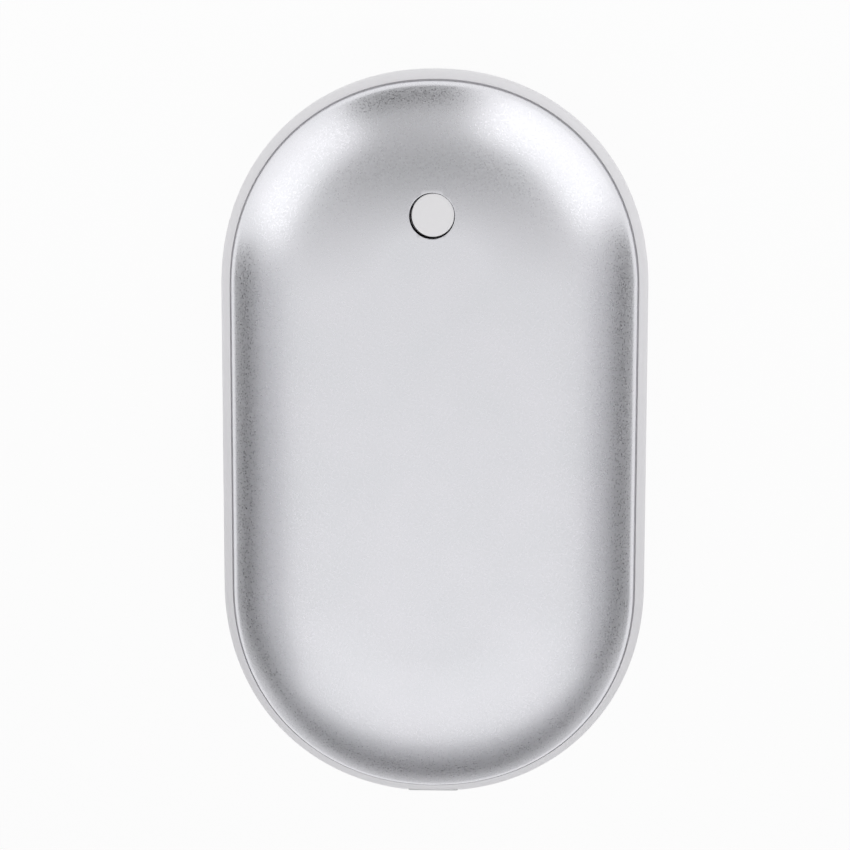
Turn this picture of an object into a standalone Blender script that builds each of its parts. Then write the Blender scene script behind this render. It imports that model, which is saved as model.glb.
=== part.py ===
"""Rechargeable hand warmer: two domed aluminium shells on a plastic band, with all that they hold inside.

The body lies on its rear shell. X is its width, Y its length with the button towards +Y, and Z its
thickness with the button face up. The origin is the middle of the flat that it rests on. Every piece is
made about the middle plane, where the two shells meet the band, and hangs on an empty at that height.
Units are metres.
"""

import math

import bmesh
import bpy
from mathutils import Vector

# Body outline; the thickness follows from the cells and the layers over them
BODY_LENGTH = 0.1070
BODY_WIDTH = 0.0620
END_STRETCH = 0.0005
END_POWER = 2.1
END_STEPS = 10

# Plastic band between the shells, and the lips that locate the shells
BAND_HEIGHT = 0.0046
BAND_CROWN = 0.00145
CROWN_STEPS = 6
LIP_HEIGHT = 0.0012
LIP_WALL = 0.0010

# Domed metal shells, whose section is a tight roll at the edge and a wide arc up to the flat foot
SHELL_WALL = 0.0008
SHELL_STEP = 0.00025
SEAM_GAP = 0.0003
EDGE_ROLL = 0.0027
DOME_RINGS = 9
FOOT_WIDTH = 0.0156

# Clearance between neighbours that touch on the real object, and the overrun of a cutter
FIT = 0.0003
OVERRUN = 0.0010
WELD = 0.000001

# Heater films and plastic liners under the shells
FILM_WALL = 0.0002
FILM_MARGIN = 0.0080
FILM_BUTTON_MARGIN = 0.0012
FILM_RINGS = 3
LINER_WALL = 0.0009
LINER_RINGS = 4

# Cells, their end strips, foam pads and the ribs that cradle them; the room round the cells sets
# their own size, which comes out at 18.3 by 65 mm
CELL_FROM_SIDE = 0.0124
CELL_TO_LINER = 0.00185
CELL_GAP = 0.0006
CELL_TO_SWITCH = 0.0025
CELL_SHOULDER = 0.0008
CELL_GROOVE_PLACE = 0.0030
CELL_GROOVE_DEPTH = 0.0004
CELL_NUB_DIAMETER = 0.0058
CELL_NUB_HEIGHT = 0.0007
STRIP_WALL = 0.0002
STRIP_HEIGHT = 0.0060
STRIP_SLOT_WIDTH = 0.0006
STRIP_SLOT_LENGTH = 0.0036
RIB_WALL = 0.0012
RIB_SPACING = 0.0220
RIB_COUNT = 3
RIB_REACH = 0.0015
RIB_TOP_HEIGHT = 0.0030
WIRE_WAY = 0.0072
PAD_WALL = 0.0007
PAD_WIDTH = 0.0240
PAD_END_GAP = 0.0010

# Button cap and the well that guides it
BUTTON_FROM_END = 0.0202
BUTTON_TRAVEL = 0.0003
BUTTON_GAP = 0.0003
CAP_DIAMETER = 0.00595
CAP_RECESS = 0.0002
CAP_EDGE = 0.00015
FLANGE_WIDTH = 0.0012
FLANGE_HEIGHT = 0.0008
STEM_DIAMETER = 0.0032
STEM_HEIGHT = 0.0009
WELL_WALL = 0.0009
WELL_SKIRT = 0.0008

# Push switch and the small board that carries it
SWITCH_SIZE = 0.0060
SWITCH_HEIGHT = 0.0035
SWITCH_EDGE = 0.0003
SWITCH_FLOOR = 0.0010
PLUNGER_DIAMETER = 0.0035
PLUNGER_STAND = 0.0013
PLUNGER_DEPTH = 0.0014
SNAP_DIAMETER = 0.0032
SNAP_WALL = 0.00015
SNAP_RISE = 0.0002
SNAP_STEPS = 4
BUTTON_BOARD_WIDTH = 0.0230
BUTTON_BOARD_LENGTH = 0.0130
BUTTON_BOARD_WALL = 0.0010
BUTTON_BOARD_EDGE = 0.0010
BUTTON_SCREW_SPACING = 0.0170
BUTTON_SCREW_FROM_EDGE = 0.0032
LED_LENGTH = 0.0020
LED_WIDTH = 0.00125
LED_HEIGHT = 0.0008
LED_BEVEL = 0.0001
LED_SPACING = 0.0096

# Main board at the charging end
BOARD_BAY = 0.0143
BOARD_WALL = 0.0012
BOARD_MARGIN = 0.00055
BOARD_TO_CELL = 0.0020
BOARD_SCREW_FROM_SIDE = 0.0030
BOARD_SCREW_FROM_EDGE = 0.0031
PORT_WIDTH = 0.0075
PORT_HEIGHT = 0.0025
PORT_CHAMFER = 0.0010
PORT_LENGTH = 0.0064
PORT_WALL = 0.0003
PORT_RECESS = 0.0003
PORT_BLOCK_LENGTH = 0.0014
TONGUE_WIDTH = 0.0037
TONGUE_HEIGHT = 0.0006
TONGUE_SETBACK = 0.0008
COIL_SIZE = 0.0060
COIL_HEIGHT = 0.0030
COIL_EDGE = 0.0008
COIL_BEVEL = 0.0003
CHIP_SIZE = 0.0050
CHIP_HEIGHT = 0.0009
CHIP_BEVEL = 0.00015
DRIVER_WIDTH = 0.0040
DRIVER_LENGTH = 0.0032
DRIVER_PLACE = 0.0008

# Screws and the bosses that take them
SCREW_DIAMETER = 0.0020
SCREW_HEAD_DIAMETER = 0.0036
SCREW_HEAD_HEIGHT = 0.0012
SCREW_CROSS_WIDTH = 0.0005
SCREW_CROSS_DEPTH = 0.0006
BOARD_SCREW_GRIP = 0.0030
CASE_SCREW_SPACING = 0.0440
CASE_SCREW_GRIP = 0.0040
CASE_BOSS_FLOOR = 0.0034
BOSS_WALL = 0.0009
LUG_WALL = 0.0016

# Leads and the temperature sensor
LEAD_DIAMETER = 0.0012
LEAD_PITCH = 0.0019
LEAD_CLEARANCE = 0.0005
LEAD_LANDING = 0.0018
HEATER_LEAD_DIAMETER = 0.0016
HEATER_LEAD_PLACE = 0.0036
HEATER_LEAD_FROM_EDGE = 0.0050
SENSOR_DIAMETER = 0.0022
SENSOR_FROM_CELL_END = 0.0056
SENSOR_LEAD_DIAMETER = 0.0010
BEND = 0.0016

# Facets of round pieces
ROUND_STEPS = 24
SMALL_STEPS = 12
SCREW_STEPS = 10
LUG_STEPS = 6
LEAD_STEPS = 2
SHARP_ANGLE = math.radians(35)
HALVINGS = 40

# Places that follow from the sizes above
END_DEPTH = BODY_WIDTH / 2 + END_STRETCH
FILM_DEPTH = SHELL_WALL + FIT
LINER_DEPTH = FILM_DEPTH + FILM_WALL + FIT
LINER_BACK = LINER_DEPTH + LINER_WALL
CELL_DIAMETER = (BODY_WIDTH - CELL_GAP) / 2 - CELL_FROM_SIDE
MIDDLE = CELL_DIAMETER / 2 + CELL_TO_LINER + LINER_BACK
EDGE_HEIGHT = BAND_HEIGHT / 2 + SEAM_GAP
EDGE_INSET = BAND_CROWN + SHELL_STEP
DOME_RUN = (BODY_WIDTH - FOOT_WIDTH) / 2 - EDGE_INSET
DOME_RISE = MIDDLE - EDGE_HEIGHT
DOME_TILT = 2 * math.atan((DOME_RISE - EDGE_ROLL) / (DOME_RUN - EDGE_ROLL))
DOME_ARC = (DOME_RUN - EDGE_ROLL) / math.sin(DOME_TILT) + EDGE_ROLL
LEVEL = math.pi / 2
LIP_TOP = BAND_HEIGHT / 2 + LIP_HEIGHT

BUTTON_Y = BODY_LENGTH / 2 - BUTTON_FROM_END
HOLE_RADIUS = CAP_DIAMETER / 2 + BUTTON_GAP
FLANGE_RADIUS = CAP_DIAMETER / 2 + FLANGE_WIDTH
WELL_RADIUS = FLANGE_RADIUS + FIT + WELL_WALL

CELL_X = (CELL_DIAMETER + CELL_GAP) / 2
CELL_TOP_Y = BUTTON_Y - SWITCH_SIZE / 2 - CELL_TO_SWITCH
BOARD_FRONT_Y = BOARD_BAY - BODY_LENGTH / 2
CELL_BOTTOM_Y = BOARD_FRONT_Y + BOARD_TO_CELL
CELL_LENGTH = CELL_TOP_Y - CELL_BOTTOM_Y
CELL_Y = (CELL_TOP_Y + CELL_BOTTOM_Y) / 2
BOARD_TOP = -PORT_HEIGHT / 2 - FIT
BOARD_BOTTOM = BOARD_TOP - BOARD_WALL
BOARD_SCREW_Y = BOARD_FRONT_Y - BOARD_SCREW_FROM_EDGE
LEAD_HEIGHT = math.sqrt(
    ((CELL_DIAMETER + LEAD_DIAMETER) / 2 + LEAD_CLEARANCE) ** 2 - (CELL_X - LEAD_PITCH) ** 2
)
NEGATIVE_LEAD_X = 2 * LEAD_PITCH + FIT
CABLE_X = SWITCH_SIZE / 2 + LEAD_PITCH

BOSS_HOLE = SCREW_DIAMETER / 2 + FIT
BOSS_RADIUS = BOSS_HOLE + BOSS_WALL
HEAD_HOLE = SCREW_HEAD_DIAMETER / 2 + FIT
HEAD_BOSS_RADIUS = HEAD_HOLE + BOSS_WALL
CASE_SCREW_X = CELL_X + CELL_DIAMETER / 2 + FIT + HEAD_BOSS_RADIUS + FIT
CASE_BOSS_END = LUG_WALL / 2 + FIT
CASE_HEAD_SEAT = CASE_BOSS_END + CASE_BOSS_FLOOR

# Finishes: linear colour, roughness and metallic
FINISHES = {
    "blasted_aluminium": ((0.61, 0.61, 0.60), 0.42, 1.0),
    "band_plastic": ((0.62, 0.63, 0.62), 0.45, 0.0),
    "cap_plastic": ((0.72, 0.74, 0.74), 0.35, 0.0),
    "liner_plastic": ((0.05, 0.05, 0.05), 0.55, 0.0),
    "heater_film": ((0.45, 0.20, 0.03), 0.35, 0.0),
    "foam": ((0.10, 0.10, 0.11), 0.95, 0.0),
    "cell_wrap": ((0.03, 0.16, 0.42), 0.35, 0.0),
    "nickel": ((0.55, 0.53, 0.49), 0.30, 1.0),
    "steel": ((0.50, 0.50, 0.50), 0.35, 1.0),
    "board": ((0.02, 0.16, 0.06), 0.45, 0.0),
    "chip": ((0.02, 0.02, 0.02), 0.50, 0.0),
    "switch_plastic": ((0.03, 0.03, 0.03), 0.50, 0.0),
    "led": ((0.80, 0.78, 0.60), 0.25, 0.0),
    "red_lead": ((0.45, 0.02, 0.02), 0.50, 0.0),
    "black_lead": ((0.02, 0.02, 0.02), 0.50, 0.0),
    "white_lead": ((0.65, 0.65, 0.62), 0.50, 0.0),
}

for old in list(bpy.data.objects):
    bpy.data.objects.remove(old, do_unlink=True)

parts = bpy.data.collections.new("hand_warmer")
guides = bpy.data.collections.new("hand_warmer_cutters")
for collection in (parts, guides):
    bpy.context.scene.collection.children.link(collection)
middle_plane = bpy.data.objects.new("middle_plane", None)
middle_plane.location = (0, 0, MIDDLE)
parts.objects.link(middle_plane)


# Making and joining objects


def place(name, mesh, location=(0, 0, 0)):
    """A new guide object on the middle plane; finish() later makes it a part."""
    made = bpy.data.objects.new(name, mesh)
    made.parent = middle_plane
    made.location = location
    made.hide_render = True
    made.display_type = "WIRE"
    guides.objects.link(made)
    return made


def finish(made, kind):
    """Move an object to the parts and give it its own material of one kind."""
    colour, roughness, metallic = FINISHES[kind]
    material = bpy.data.materials.new(f"{made.name}_{kind}")
    material.use_nodes = True
    shader = material.node_tree.nodes["Principled BSDF"]
    shader.inputs["Base Color"].default_value = (*colour, 1)
    shader.inputs["Roughness"].default_value = roughness
    shader.inputs["Metallic"].default_value = metallic
    made.data.materials.clear()
    made.data.materials.append(material)
    made.data.shade_smooth()
    made.data.set_sharp_from_angle(angle=SHARP_ANGLE)
    made.hide_render = False
    made.display_type = "TEXTURED"
    guides.objects.unlink(made)
    parts.objects.link(made)
    return made


def baked(raw):
    """The mesh that an object's curve or modifiers make, welded at its seams, in its place."""
    bpy.context.view_layer.update()
    graph = bpy.context.evaluated_depsgraph_get()
    mesh = bpy.data.meshes.new_from_object(raw.evaluated_get(graph))
    bm = bmesh.new()
    bm.from_mesh(mesh)
    bmesh.ops.remove_doubles(bm, verts=bm.verts, dist=WELD)
    bmesh.ops.recalc_face_normals(bm, faces=bm.faces)
    bm.to_mesh(mesh)
    bm.free()
    name, matrix = raw.name, raw.matrix_world.copy()
    bpy.data.objects.remove(raw, do_unlink=True)
    made = place(name, mesh)
    made.matrix_world = matrix
    return made


def combine(target, other, operation):
    """Add one Boolean to a piece; the other object stays a guide."""
    modifier = target.modifiers.new(f"{operation.lower()}_{other.name}", "BOOLEAN")
    modifier.operation = operation
    modifier.solver = "EXACT"
    modifier.object = other


def cut(target, *cutters):
    for cutter in cutters:
        combine(target, cutter, "DIFFERENCE")


def join(target, *others):
    for other in others:
        combine(target, other, "UNION")


def bevel(made, width, segments=2):
    modifier = made.modifiers.new("edges", "BEVEL")
    modifier.width = width
    modifier.segments = segments
    modifier.limit_method = "ANGLE"
    modifier.angle_limit = SHARP_ANGLE


# Plain shapes


def block(name, size, centre):
    mesh = bpy.data.meshes.new(name)
    bm = bmesh.new()
    bmesh.ops.create_cube(bm, size=1)
    bmesh.ops.scale(bm, vec=size, verts=bm.verts)
    bm.to_mesh(mesh)
    bm.free()
    return place(name, mesh, centre)


def post(name, radius, low, high, x, y, steps=SMALL_STEPS):
    """An upright cylinder between two heights."""
    mesh = bpy.data.meshes.new(name)
    bm = bmesh.new()
    bmesh.ops.create_cone(
        bm, cap_ends=True, segments=steps, radius1=radius, radius2=radius, depth=abs(high - low)
    )
    bm.to_mesh(mesh)
    bm.free()
    return place(name, mesh, (x, y, (low + high) / 2))


def turned(name, profile, centre=(0, 0, 0), steps=SMALL_STEPS):
    """A profile of radius and height pairs, listed from the top down, turned about the Z axis."""
    mesh = bpy.data.meshes.new(name)
    bm = bmesh.new()
    chain = [bm.verts.new((radius, 0, height)) for radius, height in profile]
    for first, second in zip(chain, chain[1:]):
        bm.edges.new((first, second))
    bm.to_mesh(mesh)
    bm.free()
    raw = place(name, mesh, centre)
    spin = raw.modifiers.new("turn", "SCREW")
    spin.steps = steps
    spin.render_steps = steps
    spin.use_merge_vertices = True
    spin.merge_threshold = WELD
    return baked(raw)


def plate(name, points, thickness, centre=(0, 0, 0), upright=False):
    """A flat outline with a thickness; upright turns its face towards -Y."""
    curve = bpy.data.curves.new(name, "CURVE")
    curve.dimensions = "2D"
    curve.fill_mode = "BOTH"
    curve.extrude = thickness / 2
    spline = curve.splines.new("POLY")
    spline.points.add(len(points) - 1)
    for corner, (x, y) in zip(spline.points, points):
        corner.co = (x, y, 0, 1)
    spline.use_cyclic_u = True
    raw = place(name, curve, centre)
    if upright:
        raw.rotation_euler.x = math.pi / 2
    return baked(raw)


def smooth_route(stops, steps):
    """Points on one smooth curve through the stops of a lead's route."""
    stops = [Vector(stop) for stop in stops]
    ends = [2 * stops[0] - stops[1], *stops, 2 * stops[-1] - stops[-2]]
    route = [stops[0]]
    for before, start, end, after in zip(ends, ends[1:], ends[2:], ends[3:]):
        for step in range(1, steps + 1):
            t = step / steps
            route.append(
                (
                    2 * start
                    + (end - before) * t
                    + (2 * before - 5 * start + 4 * end - after) * t**2
                    + (3 * start - before - 3 * end + after) * t**3
                )
                / 2
            )
    return route


def lead(name, stops, diameter, steps=LEAD_STEPS):
    """A round lead along a route."""
    curve = bpy.data.curves.new(name, "CURVE")
    curve.dimensions = "3D"
    curve.bevel_depth = diameter / 2
    curve.bevel_resolution = 2
    curve.use_fill_caps = True
    route = smooth_route(stops, steps)
    spline = curve.splines.new("POLY")
    spline.points.add(len(route) - 1)
    for point, (x, y, z) in zip(spline.points, route):
        point.co = (x, y, z, 1)
    return baked(place(name, curve))


def rectangle(width, length, corner, steps=3):
    """Outline of a rectangle with round corners."""
    points = []
    for quarter, (sx, sy) in enumerate(((1, 1), (-1, 1), (-1, -1), (1, -1))):
        for step in range(steps + 1):
            angle = math.pi / 2 * (quarter + step / steps)
            points.append(
                (
                    sx * (width / 2 - corner) + corner * math.cos(angle),
                    sy * (length / 2 - corner) + corner * math.sin(angle),
                )
            )
    return points


# The body's outline and dome, which every layer follows


def outline(inset):
    """The body's outline seen from above, anticlockwise, and moved in by inset."""
    half_width = BODY_WIDTH / 2
    straight = BODY_LENGTH / 2 - END_DEPTH
    quarter = []
    for step in range(END_STEPS + 1):
        angle = math.pi / 2 * step / END_STEPS
        across, along = math.cos(angle), math.sin(angle)
        point = Vector(
            (
                half_width * across ** (2 / END_POWER),
                straight + END_DEPTH * along ** (2 / END_POWER),
            )
        )
        normal = Vector(
            (
                across ** (2 - 2 / END_POWER) / half_width,
                along ** (2 - 2 / END_POWER) / END_DEPTH,
            )
        )
        quarter.append(point - inset * normal.normalized())
    end = quarter + [Vector((-point.x, point.y)) for point in reversed(quarter[:-1])]
    return end + [-point for point in end]


def layer(angle, depth=0.0):
    """Inset and height above the middle plane of a point that lies depth under the skin.

    The angle is the rise of the skin's normal above the middle plane: 0 at the band, LEVEL on the foot.
    """
    if angle < LEVEL - DOME_TILT:
        radius, inset, height = EDGE_ROLL, EDGE_INSET + EDGE_ROLL, EDGE_HEIGHT
    else:
        radius, inset, height = DOME_ARC, EDGE_INSET + DOME_RUN, MIDDLE - DOME_ARC
    under = radius - depth
    return inset - under * math.cos(angle), height + under * math.sin(angle)


def first_angle(reached):
    """The smallest angle of the dome's section at which reached becomes true."""
    low, high = 0.0, LEVEL
    for _ in range(HALVINGS):
        trial = (low + high) / 2
        if reached(trial):
            high = trial
        else:
            low = trial
    return high


def height_at(inset, depth=0.0):
    """Height of a layer above the middle plane, straight under a point at an inset of the outline."""
    return layer(first_angle(lambda angle: layer(angle, depth)[0] >= inset), depth)[1]


def slope_at(inset):
    """Fall of the skin towards the edge, as a ratio."""
    step = FIT
    return (height_at(inset + step) - height_at(inset - step)) / (2 * step)


def loft(name, rings, closed):
    """A skin through rings of equally many points; open lofts end in a flat face at the last ring."""
    bm = bmesh.new()
    loops = [[bm.verts.new(point) for point in ring] for ring in rings]
    pairs = list(zip(loops, loops[1:]))
    if closed:
        pairs.append((loops[-1], loops[0]))
    for lower, upper in pairs:
        for here in range(len(lower)):
            there = (here + 1) % len(lower)
            bm.faces.new((lower[here], lower[there], upper[there], upper[here]))
    if not closed:
        bm.faces.new(loops[-1])
    mesh = bpy.data.meshes.new(name)
    bm.to_mesh(mesh)
    bm.free()
    return place(name, mesh)


def dome_rings(depth, side, start, count):
    """Rings of a layer from a starting angle up to the flat foot."""
    rings = []
    for ring in range(count + 1):
        inset, height = layer(start + (LEVEL - start) * ring / count, depth)
        rings.append([(x, y, side * height) for x, y in outline(inset)])
    return rings


def dome(name, depth, wall, side, start=0.0, count=DOME_RINGS):
    """A sheet that lies depth under the skin, on the front for side 1 and the rear for side -1."""
    made = loft(name, dome_rings(depth, side, start, count), closed=False)
    if side < 0:
        made.data.flip_normals()
    sheet = made.modifiers.new("wall", "SOLIDIFY")
    sheet.thickness = wall
    sheet.offset = -1
    sheet.use_even_offset = True
    return made


def core(name, depth, side):
    """All the room under a layer, as a closed guide down to the middle plane."""
    rings = dome_rings(depth, side, 0.0, DOME_RINGS)
    rings.insert(0, [(x, y, 0) for x, y, _ in rings[0]])
    made = loft(name, rings, closed=False)
    bm = bmesh.new()
    bm.from_mesh(made.data)
    bmesh.ops.holes_fill(bm, edges=[edge for edge in bm.edges if edge.is_boundary])
    bmesh.ops.recalc_face_normals(bm, faces=bm.faces)
    bm.to_mesh(made.data)
    bm.free()
    return made


# Heights of the button's pieces, from the skin down
SLOPE = slope_at(BUTTON_FROM_END)
SKIN_AT_BUTTON = height_at(BUTTON_FROM_END)
WELL_SEAT = height_at(BUTTON_FROM_END - WELL_RADIUS, LINER_BACK)
FLANGE_TOP = WELL_SEAT - FIT
FLANGE_BOTTOM = FLANGE_TOP - FLANGE_HEIGHT
STEM_BOTTOM = FLANGE_BOTTOM - STEM_HEIGHT
PLUNGER_TOP = STEM_BOTTOM - FIT
SWITCH_TOP = PLUNGER_TOP - PLUNGER_STAND
SWITCH_BOTTOM = SWITCH_TOP - SWITCH_HEIGHT
BUTTON_BOARD_TOP = SWITCH_BOTTOM - FIT
BUTTON_BOARD_BOTTOM = BUTTON_BOARD_TOP - BUTTON_BOARD_WALL
STRIP_FACE_Y = CELL_TOP_Y + FIT + STRIP_WALL + FIT
BUTTON_BOARD_FRONT_Y = STRIP_FACE_Y + LEAD_DIAMETER + FIT
BUTTON_BOARD_Y = BUTTON_BOARD_FRONT_Y + BUTTON_BOARD_LENGTH / 2
BUTTON_SCREW_Y = BUTTON_BOARD_Y + BUTTON_BOARD_LENGTH / 2 - BUTTON_SCREW_FROM_EDGE


# Shells and band


def make_shells():
    front = dome("front_shell", 0.0, SHELL_WALL, 1)
    hole = post(
        "button_hole", HOLE_RADIUS, FLANGE_TOP, MIDDLE + OVERRUN, 0, BUTTON_Y, ROUND_STEPS
    )
    cut(front, hole)
    finish(front, "blasted_aluminium")
    finish(dome("rear_shell", 0.0, SHELL_WALL, -1), "blasted_aluminium")


def band_section():
    """Insets and heights round the band's section: crowned outside, with a lip into each shell."""
    half = BAND_HEIGHT / 2
    radius = (half**2 + BAND_CROWN**2) / (2 * BAND_CROWN)
    sweep = math.asin(half / radius)
    crown = []
    for step in range(CROWN_STEPS + 1):
        angle = sweep * (2 * step / CROWN_STEPS - 1)
        crown.append((radius * (1 - math.cos(angle)), radius * math.sin(angle)))
    lip_outside = layer(
        first_angle(lambda angle: layer(angle, SHELL_WALL)[1] >= LIP_TOP), SHELL_WALL
    )[0]
    lip_outside += FIT
    lip_inside = lip_outside + LIP_WALL
    upper = [(lip_outside, half), (lip_outside, LIP_TOP), (lip_inside, LIP_TOP)]
    lower = [(inset, -height) for inset, height in reversed(upper)]
    return crown + upper + lower


def make_band():
    section = band_section()
    band = loft(
        "mid_frame", [[(x, y, height) for x, y in outline(inset)] for inset, height in section], True
    )
    band = baked(band)
    wall_x = BODY_WIDTH / 2 - max(inset for inset, _ in section) + LIP_WALL / 2
    reach = wall_x - CASE_SCREW_X
    for side in (1, -1):
        for end in (1, -1):
            points = [(0, -HEAD_BOSS_RADIUS), (reach, -HEAD_BOSS_RADIUS), (reach, HEAD_BOSS_RADIUS)]
            for step in range(LUG_STEPS + 1):
                angle = math.pi * (0.5 + step / LUG_STEPS)
                points.append(
                    (HEAD_BOSS_RADIUS * math.cos(angle), HEAD_BOSS_RADIUS * math.sin(angle))
                )
            points.pop()
            points = [(side * x, y) for x, y in points]
            here = (side * CASE_SCREW_X, end * CASE_SCREW_SPACING / 2, 0)
            join(band, plate(f"lug_{side}_{end}", points, LUG_WALL, here))
            cut(
                band,
                post(f"lug_hole_{side}_{end}", BOSS_HOLE, -LUG_WALL, LUG_WALL, here[0], here[1]),
            )
    mouth = plate(
        "port_mouth",
        port_outline(FIT),
        PORT_LENGTH,
        (0, -BODY_LENGTH / 2 + PORT_LENGTH / 2 - OVERRUN, 0),
        upright=True,
    )
    cut(band, mouth)
    finish(band, "band_plastic")


# Liners: dished trays under the shells, with bosses, cell ribs and the button's well


def case_boss(side, x, y, liner_name):
    """The boss that a case screw goes through on the rear, or bites on the front."""
    name = f"{liner_name}_boss_{x > 0}_{y > 0}"
    radius = BOSS_RADIUS if side > 0 else HEAD_BOSS_RADIUS
    return post(name, radius, side * CASE_BOSS_END, side * MIDDLE, x, y)


def rib(side, place_y, x_from, x_to, liner_name, number):
    low, high = sorted((side * RIB_TOP_HEIGHT, side * MIDDLE))
    return block(
        f"{liner_name}_rib_{number}_{x_from > 0}",
        (abs(x_to - x_from), RIB_WALL, high - low),
        ((x_from + x_to) / 2, place_y, (low + high) / 2),
    )


def rib_places():
    return [CELL_Y + RIB_SPACING * (number - (RIB_COUNT - 1) / 2) for number in range(RIB_COUNT)]


def button_well():
    """A cup under the liner: its floor stops the cap's flange and its skirt guides it."""
    skirt_end = FLANGE_BOTTOM - BUTTON_TRAVEL - WELL_SKIRT
    guide = FLANGE_RADIUS + FIT
    profile = [
        (0, MIDDLE),
        (WELL_RADIUS, MIDDLE),
        (WELL_RADIUS, skirt_end),
        (guide, skirt_end),
        (guide, WELL_SEAT),
        (0, WELL_SEAT),
    ]
    return turned("button_well", profile, (0, BUTTON_Y, 0), ROUND_STEPS)


def make_liner(name, side):
    start = first_angle(lambda angle: layer(angle, LINER_BACK)[1] >= LIP_TOP + FIT)
    liner = dome(name, LINER_DEPTH, LINER_WALL, side, start, LINER_RINGS)
    room = core(f"{name}_room", LINER_DEPTH + LINER_WALL / 2, side)
    corners = [
        (x * CASE_SCREW_X, y * CASE_SCREW_SPACING / 2) for x in (1, -1) for y in (1, -1)
    ]
    fittings = [case_boss(side, x, y, name) for x, y in corners]
    rib_end = CELL_X + CELL_DIAMETER / 2 + RIB_REACH
    for number, y in enumerate(rib_places()):
        if side > 0:
            fittings.append(rib(side, y, WIRE_WAY / 2, rib_end, name, number))
            fittings.append(rib(side, y, -rib_end, -WIRE_WAY / 2, name, number))
        else:
            fittings.append(rib(side, y, -rib_end, rib_end, name, number))
    if side > 0:
        fittings.append(button_well())
        for x in (1, -1):
            fittings.append(
                post(
                    f"button_board_boss_{x}",
                    BOSS_RADIUS,
                    BUTTON_BOARD_TOP + FIT,
                    MIDDLE,
                    x * BUTTON_SCREW_SPACING / 2,
                    BUTTON_SCREW_Y,
                )
            )
    else:
        for x in (1, -1):
            fittings.append(
                post(
                    f"main_board_boss_{x}",
                    BOSS_RADIUS,
                    -MIDDLE,
                    BOARD_BOTTOM - FIT,
                    x * board_screw_x(),
                    BOARD_SCREW_Y,
                )
            )
    for fitting in fittings:
        combine(fitting, room, "INTERSECT")
        join(liner, fitting)
    make_liner_holes(liner, side, corners)
    finish(liner, "liner_plastic")


def make_liner_holes(liner, side, corners):
    """Cell seats, screw holes, the button's hole and the windows that leads pass through."""
    for x in (1, -1):
        seat = turned(
            f"{liner.name}_cell_seat_{x}",
            [
                (0, CELL_LENGTH / 2 + OVERRUN),
                (CELL_DIAMETER / 2 + FIT, CELL_LENGTH / 2 + OVERRUN),
                (CELL_DIAMETER / 2 + FIT, -CELL_LENGTH / 2 - OVERRUN),
                (0, -CELL_LENGTH / 2 - OVERRUN),
            ],
            steps=ROUND_STEPS,
        )
        seat.location = (x * CELL_X, CELL_Y, 0)
        seat.rotation_euler.x = -math.pi / 2
        cut(liner, seat)
    for number, (x, y) in enumerate(corners):
        far = CASE_BOSS_END + CASE_SCREW_GRIP + FIT if side > 0 else MIDDLE
        cut(liner, post(f"{liner.name}_pilot_{number}", BOSS_HOLE, 0, side * far, x, y))
        if side < 0:
            cut(
                liner,
                post(f"{liner.name}_head_{number}", HEAD_HOLE, -MIDDLE, -CASE_HEAD_SEAT, x, y),
            )
    if side > 0:
        # The hole is turned half a facet, so that its corners miss those of the well round it
        hole = post("liner_button_hole", HOLE_RADIUS, 0, MIDDLE, 0, BUTTON_Y, ROUND_STEPS)
        hole.rotation_euler.z = math.pi / ROUND_STEPS
        cut(liner, hole)
        way_from = BUTTON_Y - WELL_RADIUS - OVERRUN
        way_to = BUTTON_BOARD_FRONT_Y + LEAD_DIAMETER + 2 * FIT
        way_top = LEAD_HEIGHT + LEAD_DIAMETER / 2 + FIT
        way_width = 2 * (CABLE_X + LEAD_DIAMETER / 2 + FIT)
        way_middle = (0, (way_from + way_to) / 2, way_top / 2)
        cut(liner, block("well_lead_way", (way_width, way_to - way_from, way_top), way_middle))
        cut(
            liner,
            post(
                "sensor_window",
                SENSOR_DIAMETER / 2 + FIT,
                LEAD_HEIGHT,
                MIDDLE,
                0,
                CELL_BOTTOM_Y + SENSOR_FROM_CELL_END,
            ),
        )
    lead_x = -side * HEATER_LEAD_PLACE
    window = HEATER_LEAD_DIAMETER / 2 + FIT
    window_y = BOARD_FRONT_Y - HEATER_LEAD_FROM_EDGE
    cut(liner, post(f"{liner.name}_window", window, 0, side * MIDDLE, lead_x, window_y))
    screw_x = BUTTON_SCREW_SPACING / 2 if side > 0 else board_screw_x()
    screw_y = BUTTON_SCREW_Y if side > 0 else BOARD_SCREW_Y
    base = BUTTON_BOARD_TOP if side > 0 else BOARD_BOTTOM
    far = base + side * (BOARD_SCREW_GRIP + 2 * FIT)
    for x in (1, -1):
        cut(liner, post(f"{liner.name}_board_pilot_{x}", BOSS_HOLE, 0, far, x * screw_x, screw_y))


def make_films():
    for name, side in (("front_heater_film", 1), ("rear_heater_film", -1)):
        start = first_angle(lambda angle: layer(angle, FILM_DEPTH)[0] >= FILM_MARGIN)
        film = dome(name, FILM_DEPTH, FILM_WALL, side, start, FILM_RINGS)
        if side > 0:
            hole = post(
                "film_hole",
                HOLE_RADIUS + FILM_BUTTON_MARGIN,
                FLANGE_TOP,
                MIDDLE,
                0,
                BUTTON_Y,
                ROUND_STEPS,
            )
            cut(film, hole)
        finish(film, "heater_film")


def make_pads():
    """Foam between the cells and each liner, in the bay next to the middle rib."""
    length = RIB_SPACING - RIB_WALL - 2 * PAD_END_GAP
    low = CELL_DIAMETER / 2 + FIT
    for name, side in (("front_foam_pad", 1), ("rear_foam_pad", -1)):
        centre = (0, CELL_Y + RIB_SPACING / 2, side * (low + PAD_WALL / 2))
        pad = plate(name, rectangle(PAD_WIDTH, length, PAD_END_GAP), PAD_WALL, centre)
        finish(pad, "foam")


# Cells and their strips


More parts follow.
